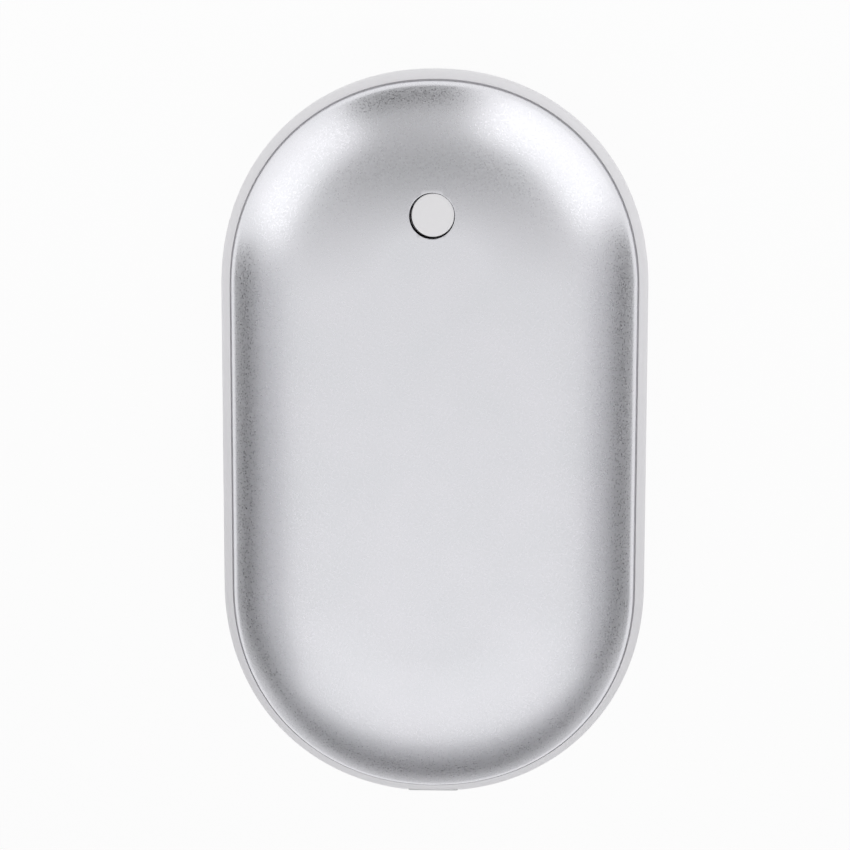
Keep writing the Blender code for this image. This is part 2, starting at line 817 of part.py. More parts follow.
def make_cells():
    radius, half = CELL_DIAMETER / 2, CELL_LENGTH / 2
    top = half - CELL_NUB_HEIGHT
    groove = top - CELL_GROOVE_PLACE
    nub = CELL_NUB_DIAMETER / 2
    profile = [
        (0, half),
        (nub, half),
        (nub, top),
        (radius - CELL_SHOULDER, top),
        (radius, top - CELL_SHOULDER),
        (radius, groove + CELL_GROOVE_DEPTH),
        (radius - CELL_GROOVE_DEPTH, groove),
        (radius, groove - CELL_GROOVE_DEPTH),
        (radius, -half + CELL_GROOVE_DEPTH),
        (radius - CELL_GROOVE_DEPTH, -half),
        (0, -half),
    ]
    for name, side in (("battery_cell_left", -1), ("battery_cell_right", 1)):
        cell = turned(name, profile, steps=ROUND_STEPS)
        cell.location = (side * CELL_X, CELL_Y, 0)
        cell.rotation_euler.x = -math.pi / 2
        finish(cell, "cell_wrap")


def make_strips():
    """Nickel strips across the two ends of the cells, with a slit at each weld."""
    length = 2 * CELL_X + STRIP_HEIGHT
    places = (
        ("nickel_strip_top", CELL_TOP_Y + FIT + STRIP_WALL / 2),
        ("nickel_strip_bottom", CELL_BOTTOM_Y - FIT - STRIP_WALL / 2),
    )
    for name, y in places:
        strip = plate(
            name, rectangle(length, STRIP_HEIGHT, STRIP_SLOT_WIDTH), STRIP_WALL, (0, y, 0), True
        )
        for side in (1, -1):
            slit = block(
                f"{name}_slit_{side}",
                (STRIP_SLOT_WIDTH, STRIP_WALL + OVERRUN, STRIP_SLOT_LENGTH),
                (side * CELL_X, y, 0),
            )
            cut(strip, slit)
        finish(strip, "nickel")


# Button, switch and button board


def make_button():
    profile = [
        (0, MIDDLE),
        (CAP_DIAMETER / 2, MIDDLE),
        (CAP_DIAMETER / 2, FLANGE_TOP),
        (FLANGE_RADIUS, FLANGE_TOP),
        (FLANGE_RADIUS, FLANGE_BOTTOM),
        (STEM_DIAMETER / 2, FLANGE_BOTTOM),
        (STEM_DIAMETER / 2, STEM_BOTTOM),
        (0, STEM_BOTTOM),
    ]
    cap = turned("button_cap", profile, (0, BUTTON_Y, 0), ROUND_STEPS)
    tilt = math.atan(SLOPE)
    above = block(
        "cap_top_cut",
        (CAP_DIAMETER + 2 * OVERRUN, CAP_DIAMETER + 2 * OVERRUN, CAP_DIAMETER),
        (0, 0, 0),
    )
    above.rotation_euler.x = -tilt
    rise = SKIN_AT_BUTTON - CAP_RECESS
    half = CAP_DIAMETER / 2
    above.location = (0, BUTTON_Y + half * math.sin(tilt), rise + half * math.cos(tilt))
    cut(cap, above)
    bevel(cap, CAP_EDGE, 1)
    finish(cap, "cap_plastic")


def make_switch():
    body = plate(
        "switch_body",
        rectangle(SWITCH_SIZE, SWITCH_SIZE, SWITCH_EDGE),
        SWITCH_HEIGHT,
        (0, BUTTON_Y, (SWITCH_TOP + SWITCH_BOTTOM) / 2),
    )
    floor = SWITCH_BOTTOM + SWITCH_FLOOR
    cut(
        body,
        post(
            "switch_well",
            PLUNGER_DIAMETER / 2 + FIT,
            floor,
            SWITCH_TOP + OVERRUN,
            0,
            BUTTON_Y,
            ROUND_STEPS,
        ),
    )
    finish(body, "switch_plastic")
    radius = PLUNGER_DIAMETER / 2
    plunger_bottom = SWITCH_TOP - PLUNGER_DEPTH
    plunger = turned(
        "switch_plunger",
        [
            (0, PLUNGER_TOP),
            (radius - SWITCH_EDGE, PLUNGER_TOP),
            (radius, PLUNGER_TOP - SWITCH_EDGE),
            (radius, plunger_bottom),
            (0, plunger_bottom),
        ],
        (0, BUTTON_Y, 0),
        ROUND_STEPS,
    )
    finish(plunger, "switch_plastic")
    make_snap_disc(floor + FIT)


def make_snap_disc(low):
    """The domed spring disc in the switch that gives the click and pushes the button back."""
    radius = SNAP_DIAMETER / 2
    upper = []
    for step in range(SNAP_STEPS + 1):
        share = step / SNAP_STEPS
        upper.append((radius * share, low + SNAP_RISE * (1 - share**2) + SNAP_WALL))
    under = [(x, z - SNAP_WALL) for x, z in reversed(upper)]
    disc = turned("switch_snap_disc", upper + under, (0, BUTTON_Y, 0))
    finish(disc, "steel")


def make_button_board():
    board = plate(
        "button_board",
        rectangle(BUTTON_BOARD_WIDTH, BUTTON_BOARD_LENGTH, BUTTON_BOARD_EDGE),
        BUTTON_BOARD_WALL,
        (0, BUTTON_BOARD_Y, (BUTTON_BOARD_TOP + BUTTON_BOARD_BOTTOM) / 2),
    )
    for x in (1, -1):
        cut(
            board,
            post(
                f"button_board_hole_{x}",
                BOSS_HOLE,
                BUTTON_BOARD_BOTTOM - OVERRUN,
                BUTTON_BOARD_TOP + OVERRUN,
                x * BUTTON_SCREW_SPACING / 2,
                BUTTON_SCREW_Y,
            ),
        )
    finish(board, "board")
    for name, side in (("led_left", -1), ("led_right", 1)):
        led = block(
            name,
            (LED_LENGTH, LED_WIDTH, LED_HEIGHT),
            (side * LED_SPACING / 2, BUTTON_Y, BUTTON_BOARD_TOP + FIT + LED_HEIGHT / 2),
        )
        bevel(led, LED_BEVEL, 1)
        finish(led, "led")


# Main board and what it carries


def board_outline(front):
    """The end of the body's outline, moved in to clear the band, behind a straight edge at front."""
    inset = max(inset for inset, _ in band_section()) + BOARD_MARGIN
    ring = outline(inset)
    points = []
    for here, there in zip(ring, ring[1:] + ring[:1]):
        if here.y < front:
            points.append(tuple(here))
        if (here.y < front) != (there.y < front):
            share = (front - here.y) / (there.y - here.y)
            points.append(tuple(here.lerp(there, share)))
    return points


def board_screw_x():
    """Place of the main board's screws, in from its curved sides."""
    return max(x for x, _ in board_outline(BOARD_SCREW_Y)) - BOARD_SCREW_FROM_SIDE


def make_main_board():
    board = plate(
        "main_board",
        board_outline(BOARD_FRONT_Y),
        BOARD_WALL,
        (0, 0, (BOARD_TOP + BOARD_BOTTOM) / 2),
    )
    screw_x = board_screw_x()
    for x in (1, -1):
        cut(
            board,
            post(
                f"board_hole_{x}",
                BOSS_HOLE,
                BOARD_BOTTOM - OVERRUN,
                BOARD_TOP + OVERRUN,
                x * screw_x,
                BOARD_SCREW_Y,
            ),
        )
    finish(board, "board")
    head_edge = screw_x - SCREW_HEAD_DIAMETER / 2
    coil_x = -(HEATER_LEAD_PLACE + HEATER_LEAD_DIAMETER / 2 + head_edge) / 2
    chip_x = (NEGATIVE_LEAD_X + LEAD_DIAMETER / 2 + head_edge) / 2
    coil = plate(
        "charge_inductor",
        rectangle(COIL_SIZE, COIL_SIZE, COIL_EDGE),
        COIL_HEIGHT,
        (coil_x, BOARD_SCREW_Y, BOARD_TOP + FIT + COIL_HEIGHT / 2),
    )
    bevel(coil, COIL_BEVEL, 1)
    finish(coil, "chip")
    landing_end = BOARD_FRONT_Y - LEAD_LANDING - LEAD_DIAMETER / 2
    port_back = -BODY_LENGTH / 2 + PORT_RECESS + PORT_LENGTH
    chips = (
        ("charger_chip", CHIP_SIZE, CHIP_SIZE, chip_x, BOARD_SCREW_Y),
        (
            "heater_driver_chip",
            DRIVER_WIDTH,
            DRIVER_LENGTH,
            DRIVER_PLACE,
            (landing_end + port_back) / 2,
        ),
    )
    for name, width, length, x, y in chips:
        chip = block(
            name, (width, length, CHIP_HEIGHT), (x, y, BOARD_TOP + FIT + CHIP_HEIGHT / 2)
        )
        bevel(chip, CHIP_BEVEL, 1)
        finish(chip, "chip")


def port_outline(grow=0.0):
    """The socket's section, flat on top and narrower below, moved out by grow."""
    x, z = PORT_WIDTH / 2 + grow, PORT_HEIGHT / 2 + grow
    chamfer = PORT_CHAMFER + grow * (2 - math.sqrt(2))
    return [(-x + chamfer, -z), (x - chamfer, -z), (x, -z + chamfer), (x, z), (-x, z), (-x, -z + chamfer)]


def make_port():
    """The charging socket: a steel shell with the contact tongue on its block inside."""
    mouth_y = -BODY_LENGTH / 2 + PORT_RECESS
    centre = (0, mouth_y + PORT_LENGTH / 2, 0)
    shell = plate("usb_port_shell", port_outline(), PORT_LENGTH, centre, True)
    bore = plate(
        "port_bore", port_outline(-PORT_WALL), PORT_LENGTH + 2 * OVERRUN, centre, True
    )
    cut(shell, bore)
    finish(shell, "steel")
    back_y = mouth_y + PORT_LENGTH
    block_y = back_y - PORT_BLOCK_LENGTH / 2
    tongue = plate(
        "usb_port_tongue",
        port_outline(-PORT_WALL - FIT),
        PORT_BLOCK_LENGTH,
        (0, block_y, 0),
        True,
    )
    blade_from = mouth_y + TONGUE_SETBACK
    blade = block(
        "tongue_blade",
        (TONGUE_WIDTH, block_y - blade_from, TONGUE_HEIGHT),
        (0, (blade_from + block_y) / 2, 0),
    )
    join(tongue, blade)
    finish(tongue, "switch_plastic")


# Screws


def make_screw(name, seat, length, x, y, up):
    """A pan-head screw; seat is where its head bears, and up is 1 when its shank points to +Z."""
    head, shank = SCREW_HEAD_DIAMETER / 2, SCREW_DIAMETER / 2
    round_off = SCREW_HEAD_HEIGHT / 3
    profile = [
        (0, SCREW_HEAD_HEIGHT),
        (head - round_off, SCREW_HEAD_HEIGHT),
        (head, SCREW_HEAD_HEIGHT - round_off),
        (head, 0),
        (shank, 0),
        (shank, -length + shank / 2),
        (shank / 2, -length),
        (0, -length),
    ]
    made = turned(name, profile, steps=SCREW_STEPS)
    made.location = (x, y, seat)
    bars = []
    for turn in (0, 1):
        size = [SCREW_CROSS_WIDTH, SCREW_CROSS_WIDTH, 2 * SCREW_CROSS_DEPTH]
        size[turn] = head
        middle = (x, y, seat + (-SCREW_HEAD_HEIGHT if up > 0 else SCREW_HEAD_HEIGHT))
        bars.append(block(f"{name}_cross_{turn}", size, middle))
    if up > 0:
        made.rotation_euler.x = math.pi
    cut(made, *bars)
    finish(made, "steel")


def make_screws():
    for number, (x, y) in enumerate(((1, 1), (-1, 1), (-1, -1), (1, -1)), start=1):
        make_screw(
            f"case_screw_{number}",
            -CASE_HEAD_SEAT - FIT,
            CASE_HEAD_SEAT + CASE_BOSS_END + CASE_SCREW_GRIP,
            x * CASE_SCREW_X,
            y * CASE_SCREW_SPACING / 2,
            up=1,
        )
    for side, word in ((-1, "left"), (1, "right")):
        make_screw(
            f"button_board_screw_{word}",
            BUTTON_BOARD_BOTTOM - FIT,
            BUTTON_BOARD_WALL + 2 * FIT + BOARD_SCREW_GRIP - FIT,
            side * BUTTON_SCREW_SPACING / 2,
            BUTTON_SCREW_Y,
            up=1,
        )
        make_screw(
            f"main_board_screw_{word}",
            BOARD_TOP + FIT,
            BOARD_WALL + 2 * FIT + BOARD_SCREW_GRIP - FIT,
            side * board_screw_x(),
            BOARD_SCREW_Y,
            up=-1,
        )


# Leads and the temperature sensor


def landing(x, start_height):
    """The last stops of a lead that comes out over the cells' ends and drops onto the main board."""
    y = BOARD_FRONT_Y - LEAD_LANDING
    return [
        (x, CELL_BOTTOM_Y, start_height),
        (x, BOARD_FRONT_Y, start_height - BEND / 4),
        (x, y, start_height - BEND),
        (x, y, (start_height - BEND + BOARD_TOP) / 2),
        (x, y, BOARD_TOP + FIT),
    ]


def make_leads():
    radius = LEAD_DIAMETER / 2
    board_end_y = BUTTON_BOARD_FRONT_Y + FIT + radius
    finish(
        lead(
            "button_cable",
            [
                (CABLE_X, board_end_y, BUTTON_BOARD_TOP + FIT),
                (CABLE_X, board_end_y, BUTTON_BOARD_TOP + BEND),
                (CABLE_X, STRIP_FACE_Y + BEND, LEAD_HEIGHT - radius),
                (SWITCH_SIZE / 2, STRIP_FACE_Y - radius, LEAD_HEIGHT),
                (LEAD_PITCH, CELL_TOP_Y - BEND, LEAD_HEIGHT),
                (LEAD_PITCH, CELL_Y, LEAD_HEIGHT),
                *landing(LEAD_PITCH, LEAD_HEIGHT),
            ],
            LEAD_DIAMETER,
        ),
        "white_lead",
    )
    finish(
        lead(
            "battery_lead_positive",
            [
                (-LEAD_PITCH, STRIP_FACE_Y + radius, 0),
                (-LEAD_PITCH, STRIP_FACE_Y + radius, STRIP_HEIGHT / 2),
                (-LEAD_PITCH, STRIP_FACE_Y, LEAD_HEIGHT - radius),
                (-LEAD_PITCH, CELL_TOP_Y - BEND, LEAD_HEIGHT),
                (-LEAD_PITCH, CELL_Y, LEAD_HEIGHT),
                *landing(-LEAD_PITCH, LEAD_HEIGHT),
            ],
            LEAD_DIAMETER,
        ),
        "red_lead",
    )
    strip_back = CELL_BOTTOM_Y - FIT - STRIP_WALL - FIT
    lead_x = NEGATIVE_LEAD_X
    landing_y = BOARD_FRONT_Y - LEAD_LANDING
    finish(
        lead(
            "battery_lead_negative",
            [
                (lead_x, strip_back - radius, STRIP_HEIGHT / 2),
                (lead_x, (strip_back - radius + landing_y) / 2, STRIP_HEIGHT / 3),
                (lead_x, landing_y, 0),
                (lead_x, landing_y, BOARD_TOP + FIT),
            ],
            LEAD_DIAMETER,
        ),
        "black_lead",
    )
    make_heater_leads()
    make_sensor()


def make_heater_leads():
    """Each film's sleeved lead goes straight from the film through its liner to the board."""
    y = BOARD_FRONT_Y - HEATER_LEAD_FROM_EDGE
    radius = HEATER_LEAD_DIAMETER / 2
    film = height_at(BODY_LENGTH / 2 + y - radius, FILM_DEPTH + FILM_WALL) - 2 * FIT
    sway = radius / 2
    for name, side, base in (
        ("front_heater_lead", 1, BOARD_TOP + FIT),
        ("rear_heater_lead", -1, BOARD_BOTTOM - FIT),
    ):
        x = -side * HEATER_LEAD_PLACE
        end = side * film
        stops = [
            (x, y, base),
            (x, y, base + (end - base) / 4),
            (x + side * sway, y, (base + end) / 2),
            (x, y, end - (end - base) / 4),
            (x, y, end),
        ]
        finish(lead(name, stops, HEATER_LEAD_DIAMETER), "white_lead")


def make_sensor():
    """The glass bead that reads the front film, seated in its window, with its twin lead."""
    y = CELL_BOTTOM_Y + SENSOR_FROM_CELL_END
    radius = SENSOR_DIAMETER / 2
    film = height_at(BODY_LENGTH / 2 + y - radius, FILM_DEPTH + FILM_WALL)
    bead_height = film - FIT - radius
    tail = lead(
        "temperature_sensor",
        [
            (0, y, bead_height),
            (0, y - radius, bead_height - radius),
            (0, (y + CELL_BOTTOM_Y) / 2 - radius, LEAD_HEIGHT + radius),
            *landing(0, LEAD_HEIGHT),
        ],
        SENSOR_LEAD_DIAMETER,
    )
    mesh = bpy.data.meshes.new("sensor_bead")
    bm = bmesh.new()
    bmesh.ops.create_uvsphere(bm, u_segments=SCREW_STEPS, v_segments=SCREW_STEPS // 2, radius=radius)
    bm.to_mesh(mesh)
    bm.free()
    join(tail, place("sensor_bead", mesh, (0, y, bead_height)))
    finish(tail, "black_lead")


make_shells()
make_band()
make_liner("front_liner", 1)
make_liner("rear_liner", -1)
make_films()
make_pads()
make_cells()
make_strips()
make_button()
make_switch()
make_button_board()
make_main_board()
make_port()
make_screws()
make_leads()
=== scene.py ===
"""Looks of a rechargeable hand warmer: two domed aluminium shells on a plastic band, with a button.

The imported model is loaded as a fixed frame, in metres, lying on its rear shell with +Z up and the
button end towards +Y. The shells, band, button, charging socket and foam are remade here with fine
rims, edge breaks and textures on the frame's own sizes. The other pieces keep their shape and get
their finishes.
"""

from __future__ import annotations

import logging
import math
from collections.abc import Callable, Iterable, Mapping, Sequence
from dataclasses import dataclass, field
from enum import Enum

import bmesh
import bpy
from bpy.types import Material, Mesh, Node, NodeSocket, NodeTree, Object
from mathutils import Matrix, Vector


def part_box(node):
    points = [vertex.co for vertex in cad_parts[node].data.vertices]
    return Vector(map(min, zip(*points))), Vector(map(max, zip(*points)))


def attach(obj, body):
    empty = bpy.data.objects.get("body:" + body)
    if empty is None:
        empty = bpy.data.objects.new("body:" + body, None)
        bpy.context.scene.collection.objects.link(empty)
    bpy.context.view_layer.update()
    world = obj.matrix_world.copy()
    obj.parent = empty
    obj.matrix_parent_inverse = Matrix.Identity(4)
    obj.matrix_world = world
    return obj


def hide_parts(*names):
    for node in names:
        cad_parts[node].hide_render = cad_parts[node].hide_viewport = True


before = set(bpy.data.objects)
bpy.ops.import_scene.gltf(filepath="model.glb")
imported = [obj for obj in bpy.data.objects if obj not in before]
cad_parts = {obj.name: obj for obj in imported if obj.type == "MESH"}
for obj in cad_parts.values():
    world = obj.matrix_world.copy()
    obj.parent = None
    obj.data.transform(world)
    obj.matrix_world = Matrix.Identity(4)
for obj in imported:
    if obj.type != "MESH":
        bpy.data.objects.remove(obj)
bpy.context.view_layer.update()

log = logging.getLogger("hand_warmer")

MM = 0.001
# Edges that bend more than this are drawn sharp
SHARP = math.radians(32)
# Rise of a normal that points straight up
LEVEL = math.pi / 2
# Turn of a small edge break, a little under a quarter so that its last face still leans
EDGE_TURN = math.radians(78)
# Halvings with which a place on the dome is found
HALVINGS = 30

# The shader that a new material comes with
SHADER = "Principled BSDF"
# Numbers of the Mix node's two colour inputs and of its colour output
MIX_FIRST, MIX_SECOND, MIX_OUT = 6, 7, 2

Point = tuple[float, float]


class Side(Enum):
    """The two shells, by the way that they face along Z."""

    FRONT = 1
    REAR = -1


class Solid(Enum):
    """How one solid changes another."""

    CUT = "DIFFERENCE"
    JOIN = "UNION"


class Slot(Enum):
    """The record's material slots."""

    ALUMINIUM = "blasted_aluminium"
    BAND = "band_plastic"
    CAP = "cap_plastic"
    LINER = "liner_plastic"
    HEATER = "heater_film"
    FOAM = "foam"
    WRAP = "cell_wrap"
    NICKEL = "nickel"
    STEEL = "steel"
    BOARD = "board"
    CHIP = "chip"
    SWITCH = "switch_plastic"
    LAMP = "led"
    RED_LEAD = "red_lead"
    BLACK_LEAD = "black_lead"
    WHITE_LEAD = "white_lead"


# Materials


def linear(hex_colour: str) -> tuple[float, float, float, float]:
    """Turn an sRGB hex colour into Blender's linear colour.

    Args:
        hex_colour: Six hex digits after a hash sign.

    Returns:
        Red, green, blue and an alpha of 1.
    """
    channels = []
    for start in (1, 3, 5):
        value = int(hex_colour[start : start + 2], 16) / 255
        # The sRGB curve: a straight foot, then a power
        channels.append(value / 12.92 if value <= 0.04045 else ((value + 0.055) / 1.055) ** 2.4)
    return (*channels, 1.0)


def per(size_mm: float) -> float:
    """Texture scale at which a feature has a real size in millimetres."""
    return 1 / (size_mm * MM)


def add_node(
    tree: NodeTree, kind: str, inputs: Mapping[str | int, object] | None = None, **settings: object
) -> Node:
    """Add one shader node with its settings, values and links.

    Args:
        tree: The material's node tree.
        kind: The node's type name after "ShaderNode".
        inputs: For each input, by name or number, a value or the socket that feeds it.
        **settings: Values for the node's own properties.

    Returns:
        The new node.
    """
    node = tree.nodes.new(f"ShaderNode{kind}")
    for name, value in settings.items():
        setattr(node, name, value)
    for name, value in (inputs or {}).items():
        if isinstance(value, NodeSocket):
            tree.links.new(value, node.inputs[name])
        else:
            node.inputs[name].default_value = value
    return node


def feed(tree: NodeTree, name: str, value: NodeSocket) -> None:
    """Link a socket to an input of the surface shader."""
    tree.links.new(value, tree.nodes[SHADER].inputs[name])


@dataclass(frozen=True)
class Finish:
    """A surface as it was made; each kind of finish adds its own pattern to the plain shader.

    Attributes:
        name: The real material and how its surface was made.
        colour: Main sRGB colour.
        roughness: Typical roughness of such a surface.
        metallic: 1 for bare metal.
        grain_mm: Real size of the surface's grain.
        relief_mm: Height of that grain, drawn high enough to show.
        detail: How many finer grains lie over the first.
        detail_mix: How strong the finer grains are.
        uneven: Share by which the roughness varies with the grain, as low places hold less polish.
        dull_at: Value of the grain with the least polish.
        bright_at: Value of the grain with the most.
    """

    name: str
    colour: str
    roughness: float = 0.5
    metallic: float = 0.0
    grain_mm: float = 0.3
    relief_mm: float = 0.01
    detail: float = 3.0
    detail_mix: float = 0.5
    uneven: float = 0.08
    dull_at: float = 0.0
    bright_at: float = 1.0

    def pattern(self, tree: NodeTree) -> None:
        """Polish the surface unevenly and raise its grain."""
        place = add_node(tree, "TexCoord")
        self.grow_grain(tree, place.outputs["Object"])

    def grow_grain(self, tree: NodeTree, place: NodeSocket) -> None:
        """Let the grain vary the polish and stand out of the surface.

        Args:
            tree: The material's node tree.
            place: Where on the piece each point lies.
        """
        grain = add_node(
            tree,
            "TexNoise",
            {
                "Vector": place,
                "Scale": per(self.grain_mm),
                "Detail": self.detail,
                "Roughness": self.detail_mix,
            },
        )
        spread = add_node(
            tree,
            "MapRange",
            {
                "Value": grain.outputs["Fac"],
                "From Min": self.dull_at,
                "From Max": self.bright_at,
                "To Min": self.roughness * (1 + self.uneven),
                "To Max": self.roughness * (1 - self.uneven),
            },
        )
        feed(tree, "Roughness", spread.outputs["Result"])
        self.raise_grain(tree, grain.outputs["Fac"])

    def raise_grain(self, tree: NodeTree, height: NodeSocket) -> None:
        """Turn a pattern from 0 to 1 into relief of its real height."""
        rise = {"Height": height, "Distance": self.relief_mm * MM, "Strength": 1.0}
        feed(tree, "Normal", add_node(tree, "Bump", rise).outputs["Normal"])

    def tint(
        self, tree: NodeTree, amount: NodeSocket, other: str, under: NodeSocket | None = None
    ) -> NodeSocket:
        """Mix the main colour with another.

        Args:
            tree: The material's node tree.
            amount: How much of the other colour, from 0 to 1.
            other: The other sRGB colour.
            under: A colour already mixed, in place of the main one.

        Returns:
            The mixed colour's socket.
        """
        mix = add_node(
            tree,
            "Mix",
            {"Factor": amount, MIX_FIRST: under or linear(self.colour), MIX_SECOND: linear(other)},
            data_type="RGBA",
        )
        feed(tree, "Base Color", mix.outputs[MIX_OUT])
        return mix.outputs[MIX_OUT]

    def build(self) -> Material:
        """Make the material with its pattern.

        Returns:
            The new material.
        """
        material = bpy.data.materials.new(self.name)
        material.use_nodes = True
        tree = material.node_tree
        shader = tree.nodes[SHADER]
        shader.inputs["Base Color"].default_value = linear(self.colour)
        shader.inputs["Roughness"].default_value = self.roughness
        shader.inputs["Metallic"].default_value = self.metallic
        self.pattern(tree)
        return material


@dataclass(frozen=True)
class BlastedAluminium(Finish):
    """Pressed aluminium, bead blasted and clear anodised.

    The beads leave close dimples, so the metal spreads its reflections into soft bands and sparkles
    where light and dark meet. Real dimples are near 0.05 mm, too fine to show, so they are drawn as
    coarse as the sparkle that the eye sees. The clear film takes the edge off the metal's colour.

    Attributes:
        cloud_mm: Size of the film's faint clouds.
        film_colour: Colour of the film where it is thickest.
    """

    cloud_mm: float = 9.0
    film_colour: str = "#E3E4E8"

    def pattern(self, tree: NodeTree) -> None:
        """Draw dimples that are polished unevenly, with a faint cloud in the film.

        Args:
            tree: The material's node tree.
        """
        place = add_node(tree, "TexCoord")
        cloud = add_node(
            tree,
            "TexNoise",
            {"Vector": place.outputs["Object"], "Scale": per(self.cloud_mm), "Detail": self.detail},
        )
        self.tint(tree, cloud.outputs["Fac"], self.film_colour)
        self.grow_grain(tree, place.outputs["Object"])


@dataclass(frozen=True)
class MilkyPlastic(Finish):
    """Moulded plastic with a diffuser in it: light goes a little way in, so edges glow softly.

    Attributes:
        depth_mm: How far light goes in.
        share: Share of the light that goes in.
    """

    depth_mm: float = 0.8
    share: float = 0.25

    def pattern(self, tree: NodeTree) -> None:
        """Draw fine moulded grain over a milky body.

        Args:
            tree: The material's node tree.
        """
        shader = tree.nodes[SHADER]
        shader.inputs["Subsurface Weight"].default_value = self.share
        shader.inputs["Subsurface Radius"].default_value = (1.0, 1.0, 1.0)
        shader.inputs["Subsurface Scale"].default_value = self.depth_mm * MM
        super().pattern(tree)


@dataclass(frozen=True)
class EtchedHeater(Finish):
    """Polyimide film over an etched foil track: clear amber with the track showing through.

    Attributes:
        pitch_mm: Pitch of the track.
        track_colour: Its sRGB colour through the film.
        track_from: Value of the waves at which the track begins.
        track_to: Value from which it is whole.
        wave_period: Scale at which the wave texture repeats once a metre.
    """

    pitch_mm: float = 2.4
    track_colour: str = "#8C6238"
    track_from: float = 0.35
    track_to: float = 0.5
    wave_period: float = 0.314159

    def pattern(self, tree: NodeTree) -> None:
        """Draw the track at its real pitch, slightly raised under the film.

        Args:
            tree: The material's node tree.
        """
        place = add_node(tree, "TexCoord")
        tracks = add_node(
            tree,
            "TexWave",
            {"Vector": place.outputs["Object"], "Scale": self.wave_period * per(self.pitch_mm)},
            bands_direction="X",
        )
        edge = add_node(
            tree,
            "MapRange",
            {
                "Value": tracks.outputs["Fac"],
                "From Min": self.track_from,
                "From Max": self.track_to,
            },
        )
        self.tint(tree, edge.outputs["Result"], self.track_colour)
        self.raise_grain(tree, edge.outputs["Result"])


@dataclass(frozen=True)
class OpenCellFoam(Finish):
    """Open-cell foam: rounded pores that swallow light, so it looks soft and has no highlight.

    Attributes:
        pore_shade_colour: Painted shade of the pores, a dark colour mixed over the foam's own.
        wall_at: Share of a pore's width at which its wall stands full.
    """

    # Dark colour painted into the foam as the shade of its pores
    pore_shade_colour: str = "#17171A"
    wall_at: float = 0.7

    def pattern(self, tree: NodeTree) -> None:
        """Draw pores with dark middles and raised walls.

        Args:
            Draw the pores with painted shade, a dark colour that grows away from each cell's
            centre, and raise their walls.
        """
        place = add_node(tree, "TexCoord")
        pores = add_node(
            tree, "TexVoronoi", {"Vector": place.outputs["Object"], "Scale": per(self.grain_mm)}
        )
        wall = add_node(
            tree, "MapRange", {"Value": pores.outputs["Distance"], "From Max": self.wall_at}
        )
        # Painted shade of the pores: the dark colour is mixed in, more of it away from each cell's
        # centre
        self.tint(tree, wall.outputs["Result"], self.pore_shade_colour)
        self.raise_grain(tree, wall.outputs["Result"])


@dataclass(frozen=True)
class FacedFinish(Finish):
    """A surface whose flat faces along one axis show another material than its sides.

    Attributes:
        axis: Which way the other faces look: X, Y or Z.
        face_colour: Their sRGB colour.
        face_metallic: Their metallic value.
        facing: How squarely a face has to look along the axis to be one of them.
        track_mm: Pitch of a printed or etched pattern on them, or 0 for none.
        track_colour: Its sRGB colour.
        track_width: Its width, as a share of the pitch.
        track_soft: How softly it ends.
        track_shift: How far each row is moved along the last one.
    """

    axis: str = "Z"
    face_colour: str = "#B9BBBD"
    face_metallic: float = 0.0
    facing: float = 0.8
    track_mm: float = 0.0
    track_colour: str = "#2F7A4A"
    track_width: float = 0.06
    track_soft: float = 0.2
    track_shift: float = 0.37

    def pattern(self, tree: NodeTree) -> None:
        """Pick the faces by the way that they look, then add the grain.

        Args:
            tree: The material's node tree.
        """
        shape = add_node(tree, "NewGeometry")
        parts = add_node(tree, "SeparateXYZ", {0: shape.outputs["Normal"]})
        facing = add_node(tree, "Math", {0: parts.outputs[self.axis]}, operation="ABSOLUTE")
        faces = add_node(
            tree, "Math", {0: facing.outputs[0], 1: self.facing}, operation="GREATER_THAN"
        )
        colour = self.tint(tree, faces.outputs[0], self.face_colour)
        if self.face_metallic != self.metallic:
            spread = add_node(
                tree,
                "MapRange",
                {"Value": faces.outputs[0], "To Min": self.metallic, "To Max": self.face_metallic},
            )
            feed(tree, "Metallic", spread.outputs["Result"])
        if self.track_mm:
            place = add_node(tree, "TexCoord")
            tracks = add_node(
                tree,
                "TexBrick",
                {
                    "Vector": place.outputs["Object"],
                    "Scale": per(self.track_mm),
                    "Mortar Size": self.track_width,
                    "Mortar Smooth": self.track_soft,
                },
                offset=self.track_shift,
            )
            on_face = add_node(
                tree, "Math", {0: tracks.outputs["Fac"], 1: faces.outputs[0]}, operation="MULTIPLY"
            )
            self.tint(tree, on_face.outputs[0], self.track_colour, under=colour)
        super().pattern(tree)


@dataclass(frozen=True)
class RolledMetal(Finish):
    """Rolled or turned metal: fine lines along one way, with a bright, slightly streaked shine.

    Attributes:
        stretch: How fine the grain is along each axis, where 1 is its own size.
    """

    stretch: tuple[float, float, float] = (1.0, 1.0, 1.0)

    def pattern(self, tree: NodeTree) -> None:
        """Draw the grain out along the way that the metal was worked.

        Args:
            tree: The material's node tree.
        """
        place = add_node(tree, "TexCoord")
        drawn = add_node(
            tree, "Mapping", {"Vector": place.outputs["Object"], "Scale": self.stretch}
        )
        self.grow_grain(tree, drawn.outputs["Vector"])


